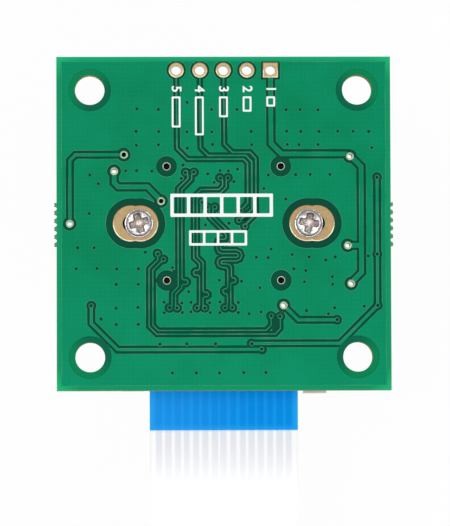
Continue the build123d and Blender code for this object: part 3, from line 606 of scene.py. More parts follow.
# Small vias closed by the mask, x and y in millimetres
tentedVias = [
    (-9.3, 12.35), (-6.98, 12.3), (-9.42, 9.95), (-7.0, 9.92), (-9.42, 8.45), (-7.0, 8.45),
    (-3.88, 13.05), (-3.93, 9.9), (-3.88, 8.1), (-1.25, 12.3), (-1.25, 9.9), (-1.2, 8.5),
    (1.45, 12.3), (3.0, 9.9), (3.05, 8.5), (-4.38, 6.3), (6.75, 12.25), (8.3, 12.28),
    (10.17, 12.25), (6.8, 9.9), (8.3, 9.9), (10.3, 9.87), (12.32, 9.9), (14.0, 9.9),
    (15.65, 9.9), (6.87, 8.5), (8.1, 8.5), (10.2, 8.5), (15.95, 8.15), (-14.4, 5.25),
    (-13.5, 4.28), (-14.5, 1.05), (-10.55, 5.67), (-9.4, 5.7), (-7.75, 5.62),
    (-15.75, -2.6), (-13.95, -2.6), (-8.5, -3.07), (-15.9, -4.87), (-13.65, -4.87),
    (-11.55, -4.9), (-9.2, -4.87), (-1.7, 5.35), (-4.55, 4.85), (-1.05, 4.4), (1.1, 4.5),
    (-0.4, 5.7), (0.5, 5.65), (1.5, 5.85), (4.35, 3.75), (-2.3, 2.25), (-0.4, 1.1),
    (0.55, 0.0), (-1.95, -0.15), (5.1, -2.8), (3.45, -3.65), (4.75, -3.7), (-5.55, -4.8),
    (4.8, 5.2), (7.78, 5.2), (9.3, 5.25), (11.45, 5.25), (6.65, 2.63), (7.35, -3.35),
    (9.15, -3.65), (12.0, -3.65), (10.95, -3.97), (15.55, -3.55), (7.5, -4.9),
    (8.8, -5.07), (11.65, -5.75), (-11.6, -6.55), (-9.25, -6.55), (-11.6, -9.1),
    (-9.25, -9.05), (-13.2, -10.3), (-11.6, -10.85), (-9.25, -10.85), (-6.45, -8.5),
    (-6.45, -9.6), (-6.95, -12.97), (-0.5, -6.15), (1.9, -6.25), (-3.8, -7.35),
    (3.85, -6.95), (-4.55, -8.55), (-3.55, -8.5), (-1.55, -8.55), (-0.45, -8.5),
    (1.5, -8.55), (-4.5, -9.6), (-3.55, -9.55), (-1.5, -9.6), (-0.45, -9.6), (1.5, -9.6),
    (2.7, -9.75), (4.0, -9.55), (-4.0, -12.97), (-0.95, -12.97), (-5.55, -16.1),
    (-3.0, -16.1), (-0.5, -16.1), (2.1, -16.1), (4.45, -16.1), (8.65, -6.35),
    (11.7, -6.6), (8.85, -9.45), (11.9, -9.1), (11.25, -9.75), (15.1, -9.0),
]
# Vias in round lands at the ends of the runs
sealedVias = [
    (-14.28, -8.85), (-7.15, -3.25), (-6.5, -3.88), (-4.1, 5.5), (-3.2, 5.5),
    (-0.4, 4.9), (0.45, 4.9), (1.8, 1.4), (1.62, 0.32), (2.27, -0.3), (2.95, -12.95),
    (4.05, -13.58), (12.15, -10.42), (16.53, -8.87), (16.53, -3.35), (16.53, 4.95),
    (5.05, -10.0), (6.03, -10.05), (-5.87, -9.1), (-5.05, -9.1), (-2.9, -9.1),
    (-2.1, -9.1), (0.1, -9.1), (0.9, -9.1), (-1.78, 1.72), (-0.95, 1.72),
]


def makeViaTents(facts, material):
    # Each closed via is a low ring of mask with a dark pit; the attribute says how far out
    dice = random.Random(facts["seed"])
    tents = bmesh.new()
    lands = [(place, 1) for place in tentedVias]
    lands += [(place, facts["sealedGrowth"]) for place in sealedVias]
    for (x, y), growth in lands:
        wobble = [dice.uniform(*facts["wobble"]) for _ in range(facts["corners"])]
        drift = [dice.uniform(-facts["drift"], facts["drift"]) for _ in range(2)]
        for side, level in boardFaces:
            bm = bmesh.new()
            tone = bm.verts.layers.float.new("pitTone")
            bmesh.ops.create_circle(
                bm, cap_ends=True, segments=facts["corners"], radius=facts["reach"] * growth
            )
            face = bm.faces[:][0]
            for vertex in bm.verts:
                vertex[tone] = 1
                vertex.co.z = -facts["rise"]
            reach = facts["reach"]
            for nearer, rise, shade in (
                (facts["rim"], facts["rise"], facts["rimTone"]),
                (facts["pit"], facts["rise"] / 2, 0.0),
            ):
                bmesh.ops.inset_region(
                    bm, faces=[face], thickness=(reach - nearer) * growth, use_boundary=True
                )
                reach = nearer
                for vertex in face.verts:
                    vertex.co.z = rise
                    vertex[tone] = shade
            for vertex, factor in zip(face.verts, wobble):
                vertex.co.xy *= factor
            if side < 0:
                bmesh.ops.rotate(bm, verts=bm.verts, matrix=Matrix.Rotation(math.pi, 3, "X"))
            bmesh.ops.translate(bm, verts=bm.verts, vec=(x + drift[0], y + drift[1], level))
            joinInto(tents, bm)
    closePiece(tents, "viaTents", material)


def tentMaterial(facts):
    material, tree, shader = newMaterial("viaTent")
    tone = addNode(tree, "ShaderNodeAttribute", attribute_name="pitTone").outputs["Fac"]
    coarse, fine = placeMottle(tree, 900, 7000)
    ring = mixColours(tree, coarse, *facts["ring"])
    outer = mixColours(tree, remap(tree, tone, 0.8, 1), ring, facts["outer"])
    colour = mixColours(tree, remap(tree, tone, 0.15, 0.6), facts["centre"], outer)
    finishShader(tree, shader, colour, spread(tree, coarse, 0.35, 0.5), fine, **maskShine)
    return material


printFacts = {
    "thickness": 0.012,
    "stroke": 0.2,
    "fieldWidth": 0.95,
    "numberSize": 1.45,
    # where each header column ends, square pad first
    "columns": [(5.1, 12.6), (2.55, 12.05), (0.0, 11.45), (-2.6, 9.5), (-5.1, 10.35)],
    "columnTop": 15.05,
    "numberLength": 1.1,
    "numberGap": 0.25,
    "numberWeight": 0.03,
    "numberSteps": 4,
    "cornerCut": 0.07,
    # blank fields with cells: left, right, bottom, top, cells, stroke
    "fields": [(-5.75, 5.3, 0.7, 3.2, 6, 0.36), (-3.75, 2.5, -2.4, -0.75, 4, 0.26)],
    "frontOutline": 8.6,
    "frontLength": 2.4,
    "frontNumbers": 14.5,
    "frontGap": 0.05,
    "join": 0.0005,
}


def addPrinted(bm, rectangles, facts, level):
    # A flat printed shape: the first rectangle with the others cut out of it
    curve = bpy.data.curves.new("printed", "CURVE")
    curve.dimensions = "2D"
    curve.fill_mode = "BOTH"
    curve.extrude = facts["thickness"] / 2
    for left, right, bottom, top in rectangles:
        cut = facts["cornerCut"]
        corners = [
            (left + cut, bottom), (right - cut, bottom), (right, bottom + cut),
            (right, top - cut), (right - cut, top), (left + cut, top),
            (left, top - cut), (left, bottom + cut),
        ]
        spline = addSpline(curve, "POLY", [(x, y, 0) for x, y in corners])
        spline.use_cyclic_u = True
    mesh = meshFromCurve(curve)
    mesh.transform(Matrix.Translation((0, 0, level)))
    takeIn(bm, mesh)


def addField(bm, left, right, bottom, top, cells, stroke, facts, level):
    # A blank printed field of so many cells
    step = (right - left - stroke) / cells
    rectangles = [(left, right, bottom, top)]
    for cell in range(cells):
        start = left + stroke + cell * step
        rectangles.append((start, start + step - stroke, bottom + stroke, top - stroke))
    addPrinted(bm, rectangles, facts, level)


def addNumber(bm, text, turn, facts):
    curve = bpy.data.curves.new("number", "FONT")
    curve.body = text
    curve.size = facts["numberSize"]
    curve.align_x = "CENTER"
    curve.align_y = "CENTER"
    curve.extrude = facts["thickness"] / 2
    curve.offset = facts["numberWeight"]
    curve.resolution_u = facts["numberSteps"]
    mesh = meshFromCurve(curve)
    mesh.transform(turn)
    takeIn(bm, mesh)


def makeBackPrint(facts, material):
    # Pin numbers, each with a blank field under it, and two blank fields in the middle
    bm = bmesh.new()
    level = boardBack + facts["thickness"] / 2
    quarter = Matrix.Rotation(-math.pi / 2, 4, "Z")
    fieldTop = facts["columnTop"] - facts["numberLength"] - facts["numberGap"]
    half = facts["fieldWidth"] / 2
    for index, (x, bottom) in enumerate(facts["columns"]):
        y = facts["columnTop"] - facts["numberLength"] / 2
        turn = Matrix.Translation((x, y, level)) @ quarter
        addNumber(bm, str(index + 1), turn, facts)
        ends = (x - half, x + half, bottom, fieldTop)
        addField(bm, *ends, 1, facts["stroke"], facts, level)
    for left, right, bottom, top, cells, stroke in facts["fields"]:
        addField(bm, left, right, bottom, top, cells, stroke, facts, level)
    weld(bm, facts["join"])
    closePiece(bm, "backPrint", material)


def makeFrontPrint(facts, material):
    # Corner marks round the lens holder, and the pin numbers again
    bm = bmesh.new()
    level = boardFront - facts["thickness"] / 2
    far = facts["frontOutline"]
    near = far - facts["frontLength"]
    inner = far - facts["stroke"]
    for sx in sides:
        for sy in sides:
            bars = ((near, far, inner, far), (inner, far, near, inner - facts["frontGap"]))
            for left, right, bottom, top in bars:
                xEnds = sorted((sx * left, sx * right))
                yEnds = sorted((sy * bottom, sy * top))
                addPrinted(bm, [(*xEnds, *yEnds)], facts, level)
    turnedOver = Matrix.Rotation(math.pi, 4, "Y")
    for index, column in enumerate(facts["columns"]):
        turn = Matrix.Translation((column[0], facts["frontNumbers"], level)) @ turnedOver
        addNumber(bm, str(index + 1), turn, facts)
    weld(bm, facts["join"])
    closePiece(bm, "frontPrint", material)


threadFacts = {
    "inner": 5.6,
    "root": 5.72,
    "crest": 5.965,
    "pitch": 0.5,
    "from": 4.2,  # hidden in the grip
    "turns": 18,
    "steps": 48,
    # where the ridge's crest and its foot lie, as shares of the pitch
    "crestFrom": 0.4,
    "crestTo": 0.52,
    "footTo": 0.92,
    "sharp": 35,  # degrees
    "join": 0.0005,
}


def makeBarrelThread(facts, material):
    # One ridge wound round the neck, closed at both ends
    bm = bmesh.new()
    pitch = facts["pitch"]
    section = [
        (facts["inner"], 0.0),
        (facts["root"], 0.0),
        (facts["crest"], facts["crestFrom"] * pitch),
        (facts["crest"], facts["crestTo"] * pitch),
        (facts["root"], facts["footTo"] * pitch),
        (facts["inner"], facts["footTo"] * pitch),
    ]
    corners = [bm.verts.new((radius, 0, facts["from"] + rise)) for radius, rise in section]
    start = bm.faces.new(corners)
    bmesh.ops.spin(
        bm,
        geom=[start, *start.edges, *start.verts],
        cent=(0, 0, 0),
        axis=(0, 0, 1),
        dvec=(0, 0, pitch / facts["steps"]),
        angle=facts["turns"] * 2 * math.pi,
        steps=facts["turns"] * facts["steps"],
        use_duplicate=False,
    )
    weld(bm, facts["join"])
    thread = closePiece(bm, "barrelThread", material, "barrel")
    thread.data.shade_smooth()
    thread.data.set_sharp_from_angle(angle=math.radians(facts["sharp"]))


# Spans in millimetres, across or along the cable
filmFacts = {
    # near the board the film is painted almost pure white, a painted washout of light; further along
    # it keeps a plainer, greyer white
    "nearWashedOut": ((252, 253, 255), (255, 255, 255)),
    "farPlain": ((226, 228, 232), (238, 239, 242)),
    "stripe": (230, 233, 241),
    "stripeFar": (204, 208, 218),
    "stripeSoft": 0.05,
    "stripeWashoutSpan": (-29.0, -22.2),
    "stripeWashoutShares": (0.1, 0.95),
    "farSpan": (-34.5, -43.0),
    "farShare": 0.9,
    "through": 0.06,
    "throughSpan": (-29.5, -23.5),
    "throughEdges": 0.13,
    "edgeSpan": (7.4, 7.9),
}
stiffenerFacts = {
    "light": ((4, 151, 242), (8, 160, 248)),
    "dark": ((0, 138, 230), (0, 145, 237)),
    "stripeSoft": 0.12,
    "rim": (30, 168, 250),
    "edgeSpan": (7.3, 7.85),
    "endSpan": (-21.4, -22.2),
    "endShare": 0.7,
    "lit": (48, 160, 250),
    "litSpan": (3.0, -7.5),
    "litShare": 0.35,
}


def stripeMask(tree, across, soft, cable):
    # 1 over each conductor, 0 between and outside the outer ones
    pitch = cable["pitch"] * mm
    start = (cable["strips"] // 2 + 1) * pitch
    folded = calc(tree, "PINGPONG", calc(tree, "ADD", across, start), pitch / 2)
    # folded is 0 on a conductor's centre and half a pitch between two; no two are as wide
    uneven = addNode(
        tree, "ShaderNodeTexNoise", {"W": across, "Scale": 900}, noise_dimensions="1D"
    ).outputs[0]
    wander = cable["stripWander"] * mm
    uneven = calc(tree, "MULTIPLY_ADD", uneven, wander, -wander / 2)
    folded = calc(tree, "ADD", folded, uneven)
    half = cable["stripWidth"] / 2
    stripe = remapAt(tree, folded, (half + soft, half - soft), kind="SMOOTHSTEP")
    outer = cable["strips"] / 2 * pitch
    within = calc(tree, "LESS_THAN", calc(tree, "ABSOLUTE", across), outer)
    return calc(tree, "MULTIPLY", stripe, within)


def filmMaterial(facts, cable):
    # White film with a grey stripe over each conductor
    material, tree, shader = newMaterial("cableFilm")
    x, y = splitPlace(tree, objectPlace(tree))[:2]
    across = calc(tree, "ABSOLUTE", x)
    coarse, fine = placeMottle(tree, 300, 6000)
    # the stripes are plainest where the film is pressed to its stiffener; past it they are painted
    # faint, a painted washout of light, and far along they show again
    strength = remapAt(tree, y, facts["stripeWashoutSpan"], *facts["stripeWashoutShares"], "SMOOTHSTEP")
    far = remapAt(tree, y, facts["farSpan"], kind="SMOOTHSTEP")
    again = calc(tree, "MULTIPLY", far, facts["farShare"])
    strength = calc(tree, "MAXIMUM", strength, again)
    stripes = stripeMask(tree, x, facts["stripeSoft"], cable)
    stripes = calc(tree, "MULTIPLY", stripes, strength)
    nearWashedOut = mixColours(tree, coarse, *facts["nearWashedOut"])
    pale = mixColours(tree, far, nearWashedOut, mixColours(tree, coarse, *facts["farPlain"]))
    grey = mixColours(tree, far, facts["stripe"], facts["stripeFar"])
    colour = mixColours(tree, stripes, pale, grey)
    rough = spread(tree, coarse, 0.36, 0.5)
    finishShader(tree, shader, colour, rough, fine, strength=0.4, specular=0.3)
    # the film is painted glowing, a painted light: least beside the board, more past it, most at the
    # two cut edges, and gone far along
    through = remapAt(tree, y, facts["throughSpan"], facts["through"], 0, "SMOOTHSTEP")
    atEdges = remapAt(tree, across, facts["edgeSpan"], 0, facts["throughEdges"])
    through = calc(tree, "ADD", through, atEdges)
    through = calc(tree, "MULTIPLY", through, calc(tree, "SUBTRACT", 1.0, far))
    tree.links.new(through, shader.inputs["Emission Strength"])
    tree.links.new(colour, shader.inputs["Emission Color"])
    return material


def stiffenerMaterial(facts, cable):
    material, tree, shader = newMaterial("stiffenerBlue")
    x, y = splitPlace(tree, objectPlace(tree))[:2]
    coarse, fine = placeMottle(tree, 320, 4200)
    light = mixColours(tree, coarse, *facts["light"])
    dark = mixColours(tree, coarse, *facts["dark"])
    stripes = stripeMask(tree, x, facts["stripeSoft"], cable)
    colour = mixColours(tree, stripes, light, dark)
    edge = remapAt(tree, calc(tree, "ABSOLUTE", x), facts["edgeSpan"], kind="SMOOTHSTEP")
    end = remapAt(tree, y, facts["endSpan"], 0, facts["endShare"], "SMOOTHSTEP")
    colour = mixColours(tree, calc(tree, "MAXIMUM", edge, end), colour, facts["rim"])
    # it is paler towards the light
    lit = remapAt(tree, x, facts["litSpan"], 0, facts["litShare"])
    colour = mixColours(tree, lit, colour, facts["lit"])
    rough = spread(tree, coarse, 0.32, 0.46)
    finishShader(tree, shader, colour, rough, fine, strength=0.4, specular=0.06)
    return material


padFacts = {
    "face": (178, 163, 125),
    "worn": (156, 138, 100),
    "tints": ((196, 160, 122), (168, 166, 124)),
    "rims": ((168, 130, 84), (238, 224, 194)),
    "wall": (206, 182, 140),
    "outline": {"pitch": 2.54, "y": 16.55, "radius": 0.8, "width": 0.09},
}
slotFacts = {
    "face": (169, 147, 110),
    "worn": (150, 127, 90),
    "tints": ((190, 142, 116), (156, 154, 102)),
    "rims": ((172, 122, 72), (250, 234, 200)),
    "wall": (190, 166, 124),
    "outline": {"centres": (9, 10), "y": 0, "radius": 1.935, "width": 0.1},
}
viaFacts = {
    "face": (160, 180, 150),
    "worn": (88, 130, 102),
    "tints": ((164, 172, 134), (110, 162, 126)),
    "rims": ((110, 150, 118), (226, 232, 208)),
    "wall": (84, 74, 54),
}
locatingFacts = {
    "face": (184, 190, 174),
    "worn": (140, 148, 128),
    "tints": ((182, 178, 154), (158, 182, 156)),
    "rims": ((136, 144, 122), (234, 238, 230)),
    "wall": (60, 54, 42),
    # the mask laps over the outer part
    "masked": {"offset": 6.15, "bareReach": 0.43, "colour": (0, 78, 56)},
}


def padRim(tree, place, outline):
    # 1 in a narrow band inside the outline of the pads, and 0 to 1 from their top to bottom, which
    # sets the rim's painted shade and painted highlight
    x, y = splitPlace(tree, place)[:2]
    along = calc(tree, "SUBTRACT", y, outline["y"] * mm)
    radius = outline["radius"] * mm
    if "pitch" in outline:
        pitch = outline["pitch"] * mm
        offsets = [calc(tree, "PINGPONG", calc(tree, "ADD", x, 10 * pitch), pitch / 2)]
    else:
        folded = calc(tree, "ABSOLUTE", x)
        offsets = [calc(tree, "SUBTRACT", folded, centre * mm) for centre in outline["centres"]]
    far = None
    for offset in offsets:
        squared = calc(tree, "MULTIPLY_ADD", offset, offset, calc(tree, "POWER", along, 2))
        reach = calc(tree, "SQRT", squared)
        far = reach if far is None else calc(tree, "MINIMUM", far, reach)
    if "pitch" in outline:
        square = calc(tree, "MAXIMUM", offsets[0], calc(tree, "ABSOLUTE", along))
        isSquare = calc(tree, "GREATER_THAN", x, 1.5 * pitch)
        far = remap(tree, isSquare, 0, 1, far, square)
    band = calc(tree, "GREATER_THAN", far, radius - outline["width"] * mm)
    return band, remap(tree, along, 0.25 * radius, -0.25 * radius)


def uprightShare(tree):
    # How far the face itself, without its bumps, looks up
    normal = addNode(tree, "ShaderNodeNewGeometry").outputs["True Normal"]
    return splitPlace(tree, normal)[2]


def platingMaterial(name, facts):
    # Gold over nickel: a matt grainy face, a rim painted darker on one side and lighter on the
    # other, painted shade and painted highlight, and the bore
    material, tree, shader = newMaterial(name)
    place = objectPlace(tree)
    coarse, fine = placeMottle(tree, 1500, 9000)
    spots, grain = placeMottle(tree, 3300, 5200)
    tone = spread(tree, noiseTone(tree, coarse, fine, 0.8))
    face = mixColours(tree, tone, facts["worn"], facts["face"])
    tint = mixColours(tree, remap(tree, spots, 0.42, 0.58), *facts["tints"])
    face = mixColours(tree, remap(tree, grain, 0.4, 0.6, 0.05, 0.85), face, tint)
    if "outline" in facts:
        mask, litSide = padRim(tree, place, facts["outline"])
        patchy = remap(tree, coarse, 0.35, 0.6, 0.35, 1)
        mask = calc(tree, "MULTIPLY", mask, patchy)
    else:
        inputs = {"Radius": 0.0001, "Break Scale": 1800, "Full At": 0.93}
        edge = placeGroup(tree, edgeWearAndHighlight, inputs).outputs
        mask = edge["Mask"]
        litSide = vectorCalc(tree, "DOT_PRODUCT", edge["Lean"], (0.5, -0.8, 0))
        litSide = remap(tree, litSide, -0.1, 0.15)
    # the rim is painted shade on one side and a painted highlight on the other
    colour = mixColours(tree, mask, face, mixColours(tree, litSide, *facts["rims"]))
    if "masked" in facts:
        lap = facts["masked"]
        bare = discMask(tree, place, lap["offset"], lap["bareReach"])
        colour = mixColours(tree, bare, lap["colour"], colour)
    wall = calc(tree, "LESS_THAN", calc(tree, "ABSOLUTE", uprightShare(tree)), 0.5)
    colour = mixColours(tree, wall, colour, facts["wall"])
    finishShader(tree, shader, colour, spread(tree, coarse, 0.4, 0.55), grain, 0.6, 0.008)
    shader.inputs["Metallic"].default_value = 1
    return material


screwFacts = {
    "offset": 9.15,
    "bright": (252, 250, 250),
    "dull": (168, 162, 164),
    "grimeAndShade": (118, 102, 88),
    "glint": (236, 226, 218),
    "seam": (72, 58, 48),
    "side": (170, 160, 152),
    "recessReach": 1.14,
    "glintReach": 0.42,
    "recessTop": 21.62,
    "recessFloor": 21.25,
    "seamFrom": 1.33,
    "seamTo": 1.42,
    "shadeSpan": (0.2, 1.1),
    "shade": 0.14,
    "seamSpan": (-0.9, -1.3),
    "seamShare": 0.75,
}


def screwMaterial(facts):
    # Nickel plate, turned in rings, with grime and painted shade in the recess and painted shade in
    # the step of the head
    material, tree, shader = newMaterial("screwNickel")
    place = objectPlace(tree)
    y, z = splitPlace(tree, place)[1:]
    folded = vectorCalc(tree, "ABSOLUTE", place)
    centred = vectorCalc(tree, "SUBTRACT", folded, (facts["offset"] * mm, 0, 0))
    rings = addNode(
        tree,
        "ShaderNodeTexWave",
        {"Vector": centred, "Scale": 3000, "Distortion": 1.5, "Detail": 2},
        wave_type="RINGS",
        rings_direction="Z",
    ).outputs["Fac"]
    coarse, fine = placeMottle(tree, 1900, 7000)
    # the half of each head away from the cable mirrors something darker
    shade = remapAt(tree, y, facts["shadeSpan"], 0, facts["shade"])
    tone = calc(tree, "SUBTRACT", noiseTone(tree, coarse, fine, 0.5), shade)
    colour = mixColours(tree, remap(tree, tone, 0.38, 0.52), facts["dull"], facts["bright"])
    flat = vectorCalc(tree, "MULTIPLY", centred, (1, 1, 0))
    radius = vectorCalc(tree, "LENGTH", flat)
    # the recess is darkened towards its floor: grime and painted shade
    inRecess = calc(tree, "LESS_THAN", radius, facts["recessReach"] * mm)
    low = remapAt(tree, z, (facts["recessTop"], facts["recessFloor"]))
    recessGrimeAndShade = calc(tree, "MULTIPLY", inRecess, low)
    patchy = remap(tree, fine, 0.38, 0.62, 0.45, 1)
    colour = mixColours(tree, calc(tree, "MULTIPLY", recessGrimeAndShade, patchy), colour, facts["grimeAndShade"])
    glint = remapAt(tree, radius, (facts["glintReach"], facts["glintReach"] / 3))
    glint = calc(tree, "MULTIPLY", glint, remap(tree, coarse, 0.4, 0.55, 0.2, 1))
    colour = mixColours(tree, glint, colour, facts["glint"])
    # painted shade in the step of the head, darkest on the cable's side
    outOf = calc(tree, "GREATER_THAN", radius, facts["seamFrom"] * mm)
    under = calc(tree, "LESS_THAN", radius, facts["seamTo"] * mm)
    toCable = remapAt(tree, y, facts["seamSpan"], 0, facts["seamShare"])
    share = calc(tree, "ADD", toCable, remap(tree, coarse, 0.42, 0.6, 0.1, 0.6))
    seam = calc(tree, "MULTIPLY", calc(tree, "MULTIPLY", outOf, under), share)
    seam = calc(tree, "MINIMUM", seam, 1)
    # the steep side of the head is dull, so it mirrors little of the board
    steep = remap(tree, uprightShare(tree), 0.8, 0.45)
    steep = calc(tree, "MULTIPLY", steep, calc(tree, "SUBTRACT", 1.0, inRecess))
    colour = mixColours(tree, steep, colour, facts["side"])
    colour = mixColours(tree, seam, colour, facts["seam"])
    plain = calc(tree, "MAXIMUM", seam, calc(tree, "MULTIPLY", steep, 0.9))
    dull = calc(tree, "MAXIMUM", plain, recessGrimeAndShade)
    rough = calc(tree, "MULTIPLY_ADD", dull, 0.3, spread(tree, coarse, 0.14, 0.28))
    relief = calc(tree, "MULTIPLY_ADD", rings, 0.3, coarse)
    finishShader(tree, shader, colour, rough, relief, 0.7, 0.03)
    tree.links.new(calc(tree, "SUBTRACT", 1.0, plain), shader.inputs["Metallic"])
    return material


def glassMaterial(name, tint, film):
    # Clear glass with a thin coating and a trace of dust; the film in nanometres
    material, tree, shader = newMaterial(name)
    coarse, fine = placeMottle(tree, 700, 16000)
    colour = mixColours(tree, coarse, tint, (252, 252, 252))
    finishShader(tree, shader, colour, remap(tree, fine, 0.68, 0.8, 0, 0.25))
    shader.inputs["Transmission Weight"].default_value = 1
    shader.inputs["IOR"].default_value = 1.52
    shader.inputs["Thin Film Thickness"].default_value = film
    shader.inputs["Thin Film IOR"].default_value = 1.38
    return material


def dieMaterial():
    # Bare silicon: a dark bright face whose colour drifts
    material, tree, shader = newMaterial("silicon")
    coarse, fine = placeMottle(tree, 180, 12000)
    facts = {"Vector": objectPlace(tree), "Scale": 2600}
    lines = addNode(tree, "ShaderNodeTexWave", facts, bands_direction="X").outputs["Fac"]
    drift = calc(tree, "MULTIPLY_ADD", lines, 0.15, coarse)
    colour = mixColours(tree, remap(tree, drift, 0.3, 0.8), (58, 72, 88), (96, 78, 92))
    finishShader(tree, shader, colour, spread(tree, fine, 0.1, 0.22))
    shader.inputs["Metallic"].default_value = 0.8
    return material


white = plainMaterial(
    "printWhite",
    colour=(250, 255, 255),
    darker=0.96,
    coarse=900,
    roughness=(0.5, 0.65),
    specular=0.3,
)
anodised = plainMaterial(
    "blackAnodised",
    colour=(36, 36, 38),
    darker=0.62,
    edgeColour=(92, 92, 96),
    fine=12000,
    roughness=(0.32, 0.44),
    bump=0.003,
)
nylon = plainMaterial(
    "blackNylon",
    colour=(40, 40, 42),
    darker=0.62,
    edgeColour=(70, 70, 73),
    edgeRadius=0.1,
    coarse=350,
    fine=7000,
    roughness=(0.45, 0.62),
    bump=0.009,
)
paleTin = plainMaterial(
    "tinPlating",
    colour=(190, 190, 187),
    darker=0.78,
    metallic=1.0,
    coarse=900,
    roughness=(0.26, 0.42),
    edgeColour=(222, 222, 219),
)
connectorPlastic = plainMaterial(
    "connectorPlastic",
    colour=(226, 219, 214),
    darker=0.88,
    coarse=420,
    fine=8000,
    roughness=(0.42, 0.56),
    bump=0.005,
    edgeColour=(240, 236, 230),
)
epoxy = plainMaterial(
    "blackEpoxy",
    colour=(40, 40, 42),
    darker=0.75,
    fine=16000,
    roughness=(0.55, 0.7),
    bump=0.007,
    edgeColour=(74, 74, 76),
    edgeRadius=0.04,
)
ceramicBeige = plainMaterial(
    "ceramicBeige",
    colour=(176, 140, 104),
    darker=0.82,
    coarse=1500,
    fine=14000,
    roughness=(0.4, 0.55),
    edgeColour=(200, 168, 134),
    edgeRadius=0.03,
)
ceramicBlack = plainMaterial(
    "ceramicBlack",
    colour=(34, 34, 38),
    darker=0.75,
    coarse=1500,
    fine=14000,
    roughness=(0.35, 0.5),
    edgeColour=(190, 190, 192),
    edgeRadius=0.04,
)
steelCan = plainMaterial(
    "canSteel",
    colour=(184, 182, 176),
    darker=0.84,
    metallic=1.0,
    coarse=300,
    fine=2600,
    stretch=(1, 12, 1),
    roughness=(0.24, 0.36),
    bump=0.003,
    edgeColour=(216, 214, 208),
)
nodeMaterials = [
    (boardMaterial(boardFacts), ["circuit_board"]),
    (platingMaterial("padGold", padFacts), ["header_pads"]),
    (platingMaterial("slotGold", slotFacts), ["screw_pads"]),
    (platingMaterial("viaGold", viaFacts), ["via_plating"]),
    (platingMaterial("locatingGold", locatingFacts), ["locating_plating"]),
    (screwMaterial(screwFacts), ["holder_screws"]),
    (stiffenerMaterial(stiffenerFacts, cableFacts), ["near_stiffener", "far_stiffener"]),
    (connectorPlastic, ["connector_slider", "connector_housing"]),
    (paleTin, ["connector_contacts", "connector_anchors", "cable_contacts"]),
    (paleTin, ["sensor_balls", "regulator_legs", "chip_ends"]),
    (nylon, ["lens_holder"]),
    (anodised, ["lens_barrel", "retaining_ring", "spacer_ring", "aperture_stop"]),
    (glassMaterial("coatedGlass", (228, 240, 236), 420), ["front_lens", "middle_lens", "rear_lens"]),
    (glassMaterial("filterGlass", (176, 222, 226), 300), ["infrared_filter"]),
    (glassMaterial("sensorGlass", (236, 240, 242), 150), ["sensor_glass"]),
    (dieMaterial(), ["sensor_die"]),
    (epoxy, ["voltage_regulators", "crystal_base"]),
    (steelCan, ["crystal_can"]),
    (ceramicBeige, ["capacitor_bodies"]),
    (ceramicBlack, ["resistor_bodies"]),
]
covered = {"flat_cable"}
for finish, nodeNames in nodeMaterials:
    covered.update(nodeNames)
    for nodeName in nodeNames:
        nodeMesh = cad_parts[nodeName].data
        nodeMesh.materials.clear()
        nodeMesh.materials.append(finish)
print("materials placed, without one:", sorted(set(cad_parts) - covered))

makeCable(cableFacts, filmMaterial(filmFacts, cableFacts))
makeMaskRims(rimFacts, rimMaterial(rimFacts))
makeViaTents(tentFacts, tentMaterial(tentFacts))
makeBackPrint(printFacts, white)
makeFrontPrint(printFacts, white)
makeBarrelThread(threadFacts, anodised)

lightFacts = {
    "skyLevel": 0.55,
    "floorGlow": 0.96,
    "floorBase": (0.93, 0.93, 0.93, 1),
    "floorSize": 3000,  # millimetres
    "floorDrop": 0.02,
    # place in metres, size, share of the plain level
    "lamps": [((-0.5, 0.12, 0.95), 0.6, 0.27), ((0.6, -0.6, 0.75), 0.8, 0.2)],
}


def seenOnly(tree):
    # 1 where the camera, a mirror or a glass sees it, 0 where it only gives light
    rays = addNode(tree, "ShaderNodeLightPath").outputs
    mirrored = calc(tree, "MAXIMUM", rays["Is Glossy Ray"], rays["Is Transmission Ray"])
    return calc(tree, "MAXIMUM", rays["Is Camera Ray"], mirrored)


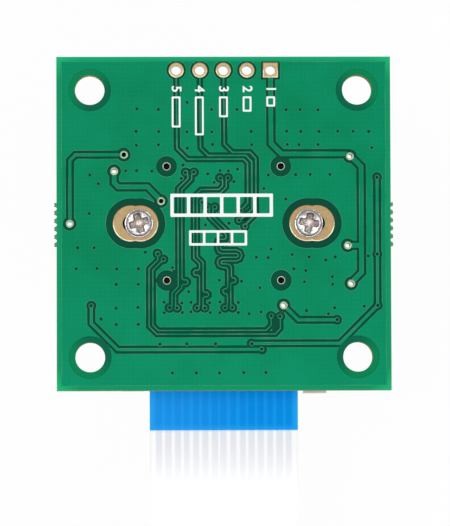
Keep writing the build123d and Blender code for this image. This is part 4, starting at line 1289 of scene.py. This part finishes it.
def makeFloor(facts):
    bm = bmesh.new()
    bmesh.ops.create_grid(bm, x_segments=1, y_segments=1, size=facts["floorSize"])
    bmesh.ops.translate(bm, verts=bm.verts, vec=(0, 0, -facts["floorDrop"]))
    mesh = meshFrom(bm, "floor")
    material, tree, shader = newMaterial("floorWhite")
    shader.inputs["Base Color"].default_value = facts["floorBase"]
    shader.inputs["Roughness"].default_value = 1
    shader.inputs["Specular IOR Level"].default_value = 0
    glow = addNode(tree, "ShaderNodeEmission", {"Color": (1, 1, 1, 1), "Strength": 1})
    share = calc(tree, "MULTIPLY", seenOnly(tree), facts["floorGlow"])
    inputs = {0: share, 1: shader.outputs[0], 2: glow.outputs[0]}
    mix = addNode(tree, "ShaderNodeMixShader", inputs)
    tree.links.new(mix.outputs[0], tree.nodes["Material Output"].inputs[0])
    floor = bpy.data.objects.new("floor", mesh)
    scene.collection.objects.link(floor)
    mesh.materials.append(material)


def makeSky(facts):
    world = bpy.data.worlds.new("studio")
    scene.world = world
    world.use_nodes = True
    tree = world.node_tree
    tree.nodes.clear()
    inputs = {0: seenOnly(tree)}
    for index, level in ((1, facts["skyLevel"]), (2, 1)):
        white = {"Color": (1, 1, 1, 1), "Strength": level}
        inputs[index] = addNode(tree, "ShaderNodeBackground", white).outputs[0]
    mix = addNode(tree, "ShaderNodeMixShader", inputs)
    addNode(tree, "ShaderNodeOutputWorld", {0: mix.outputs[0]})


def makeLamps(facts):
    target = Vector((0, 0, 0.02))
    for index, (place, size, share) in enumerate(facts["lamps"]):
        data = bpy.data.lights.new(f"softLamp{index}", "AREA")
        data.shape = "SQUARE"
        data.size = size
        away = Vector(place) - target
        # a level surface gets this share of the light that shows a colour as written
        data.energy = share * math.pi**2 * away.length**2 / (away.normalized().z)
        lamp = bpy.data.objects.new(f"softLamp{index}", data)
        scene.collection.objects.link(lamp)
        lamp.location = place
        lamp.rotation_euler = away.to_track_quat("Z", "Y").to_euler()


makeFloor(lightFacts)
makeSky(lightFacts)
makeLamps(lightFacts)
scene.view_settings.view_transform = "Standard"
print("floor and light made")
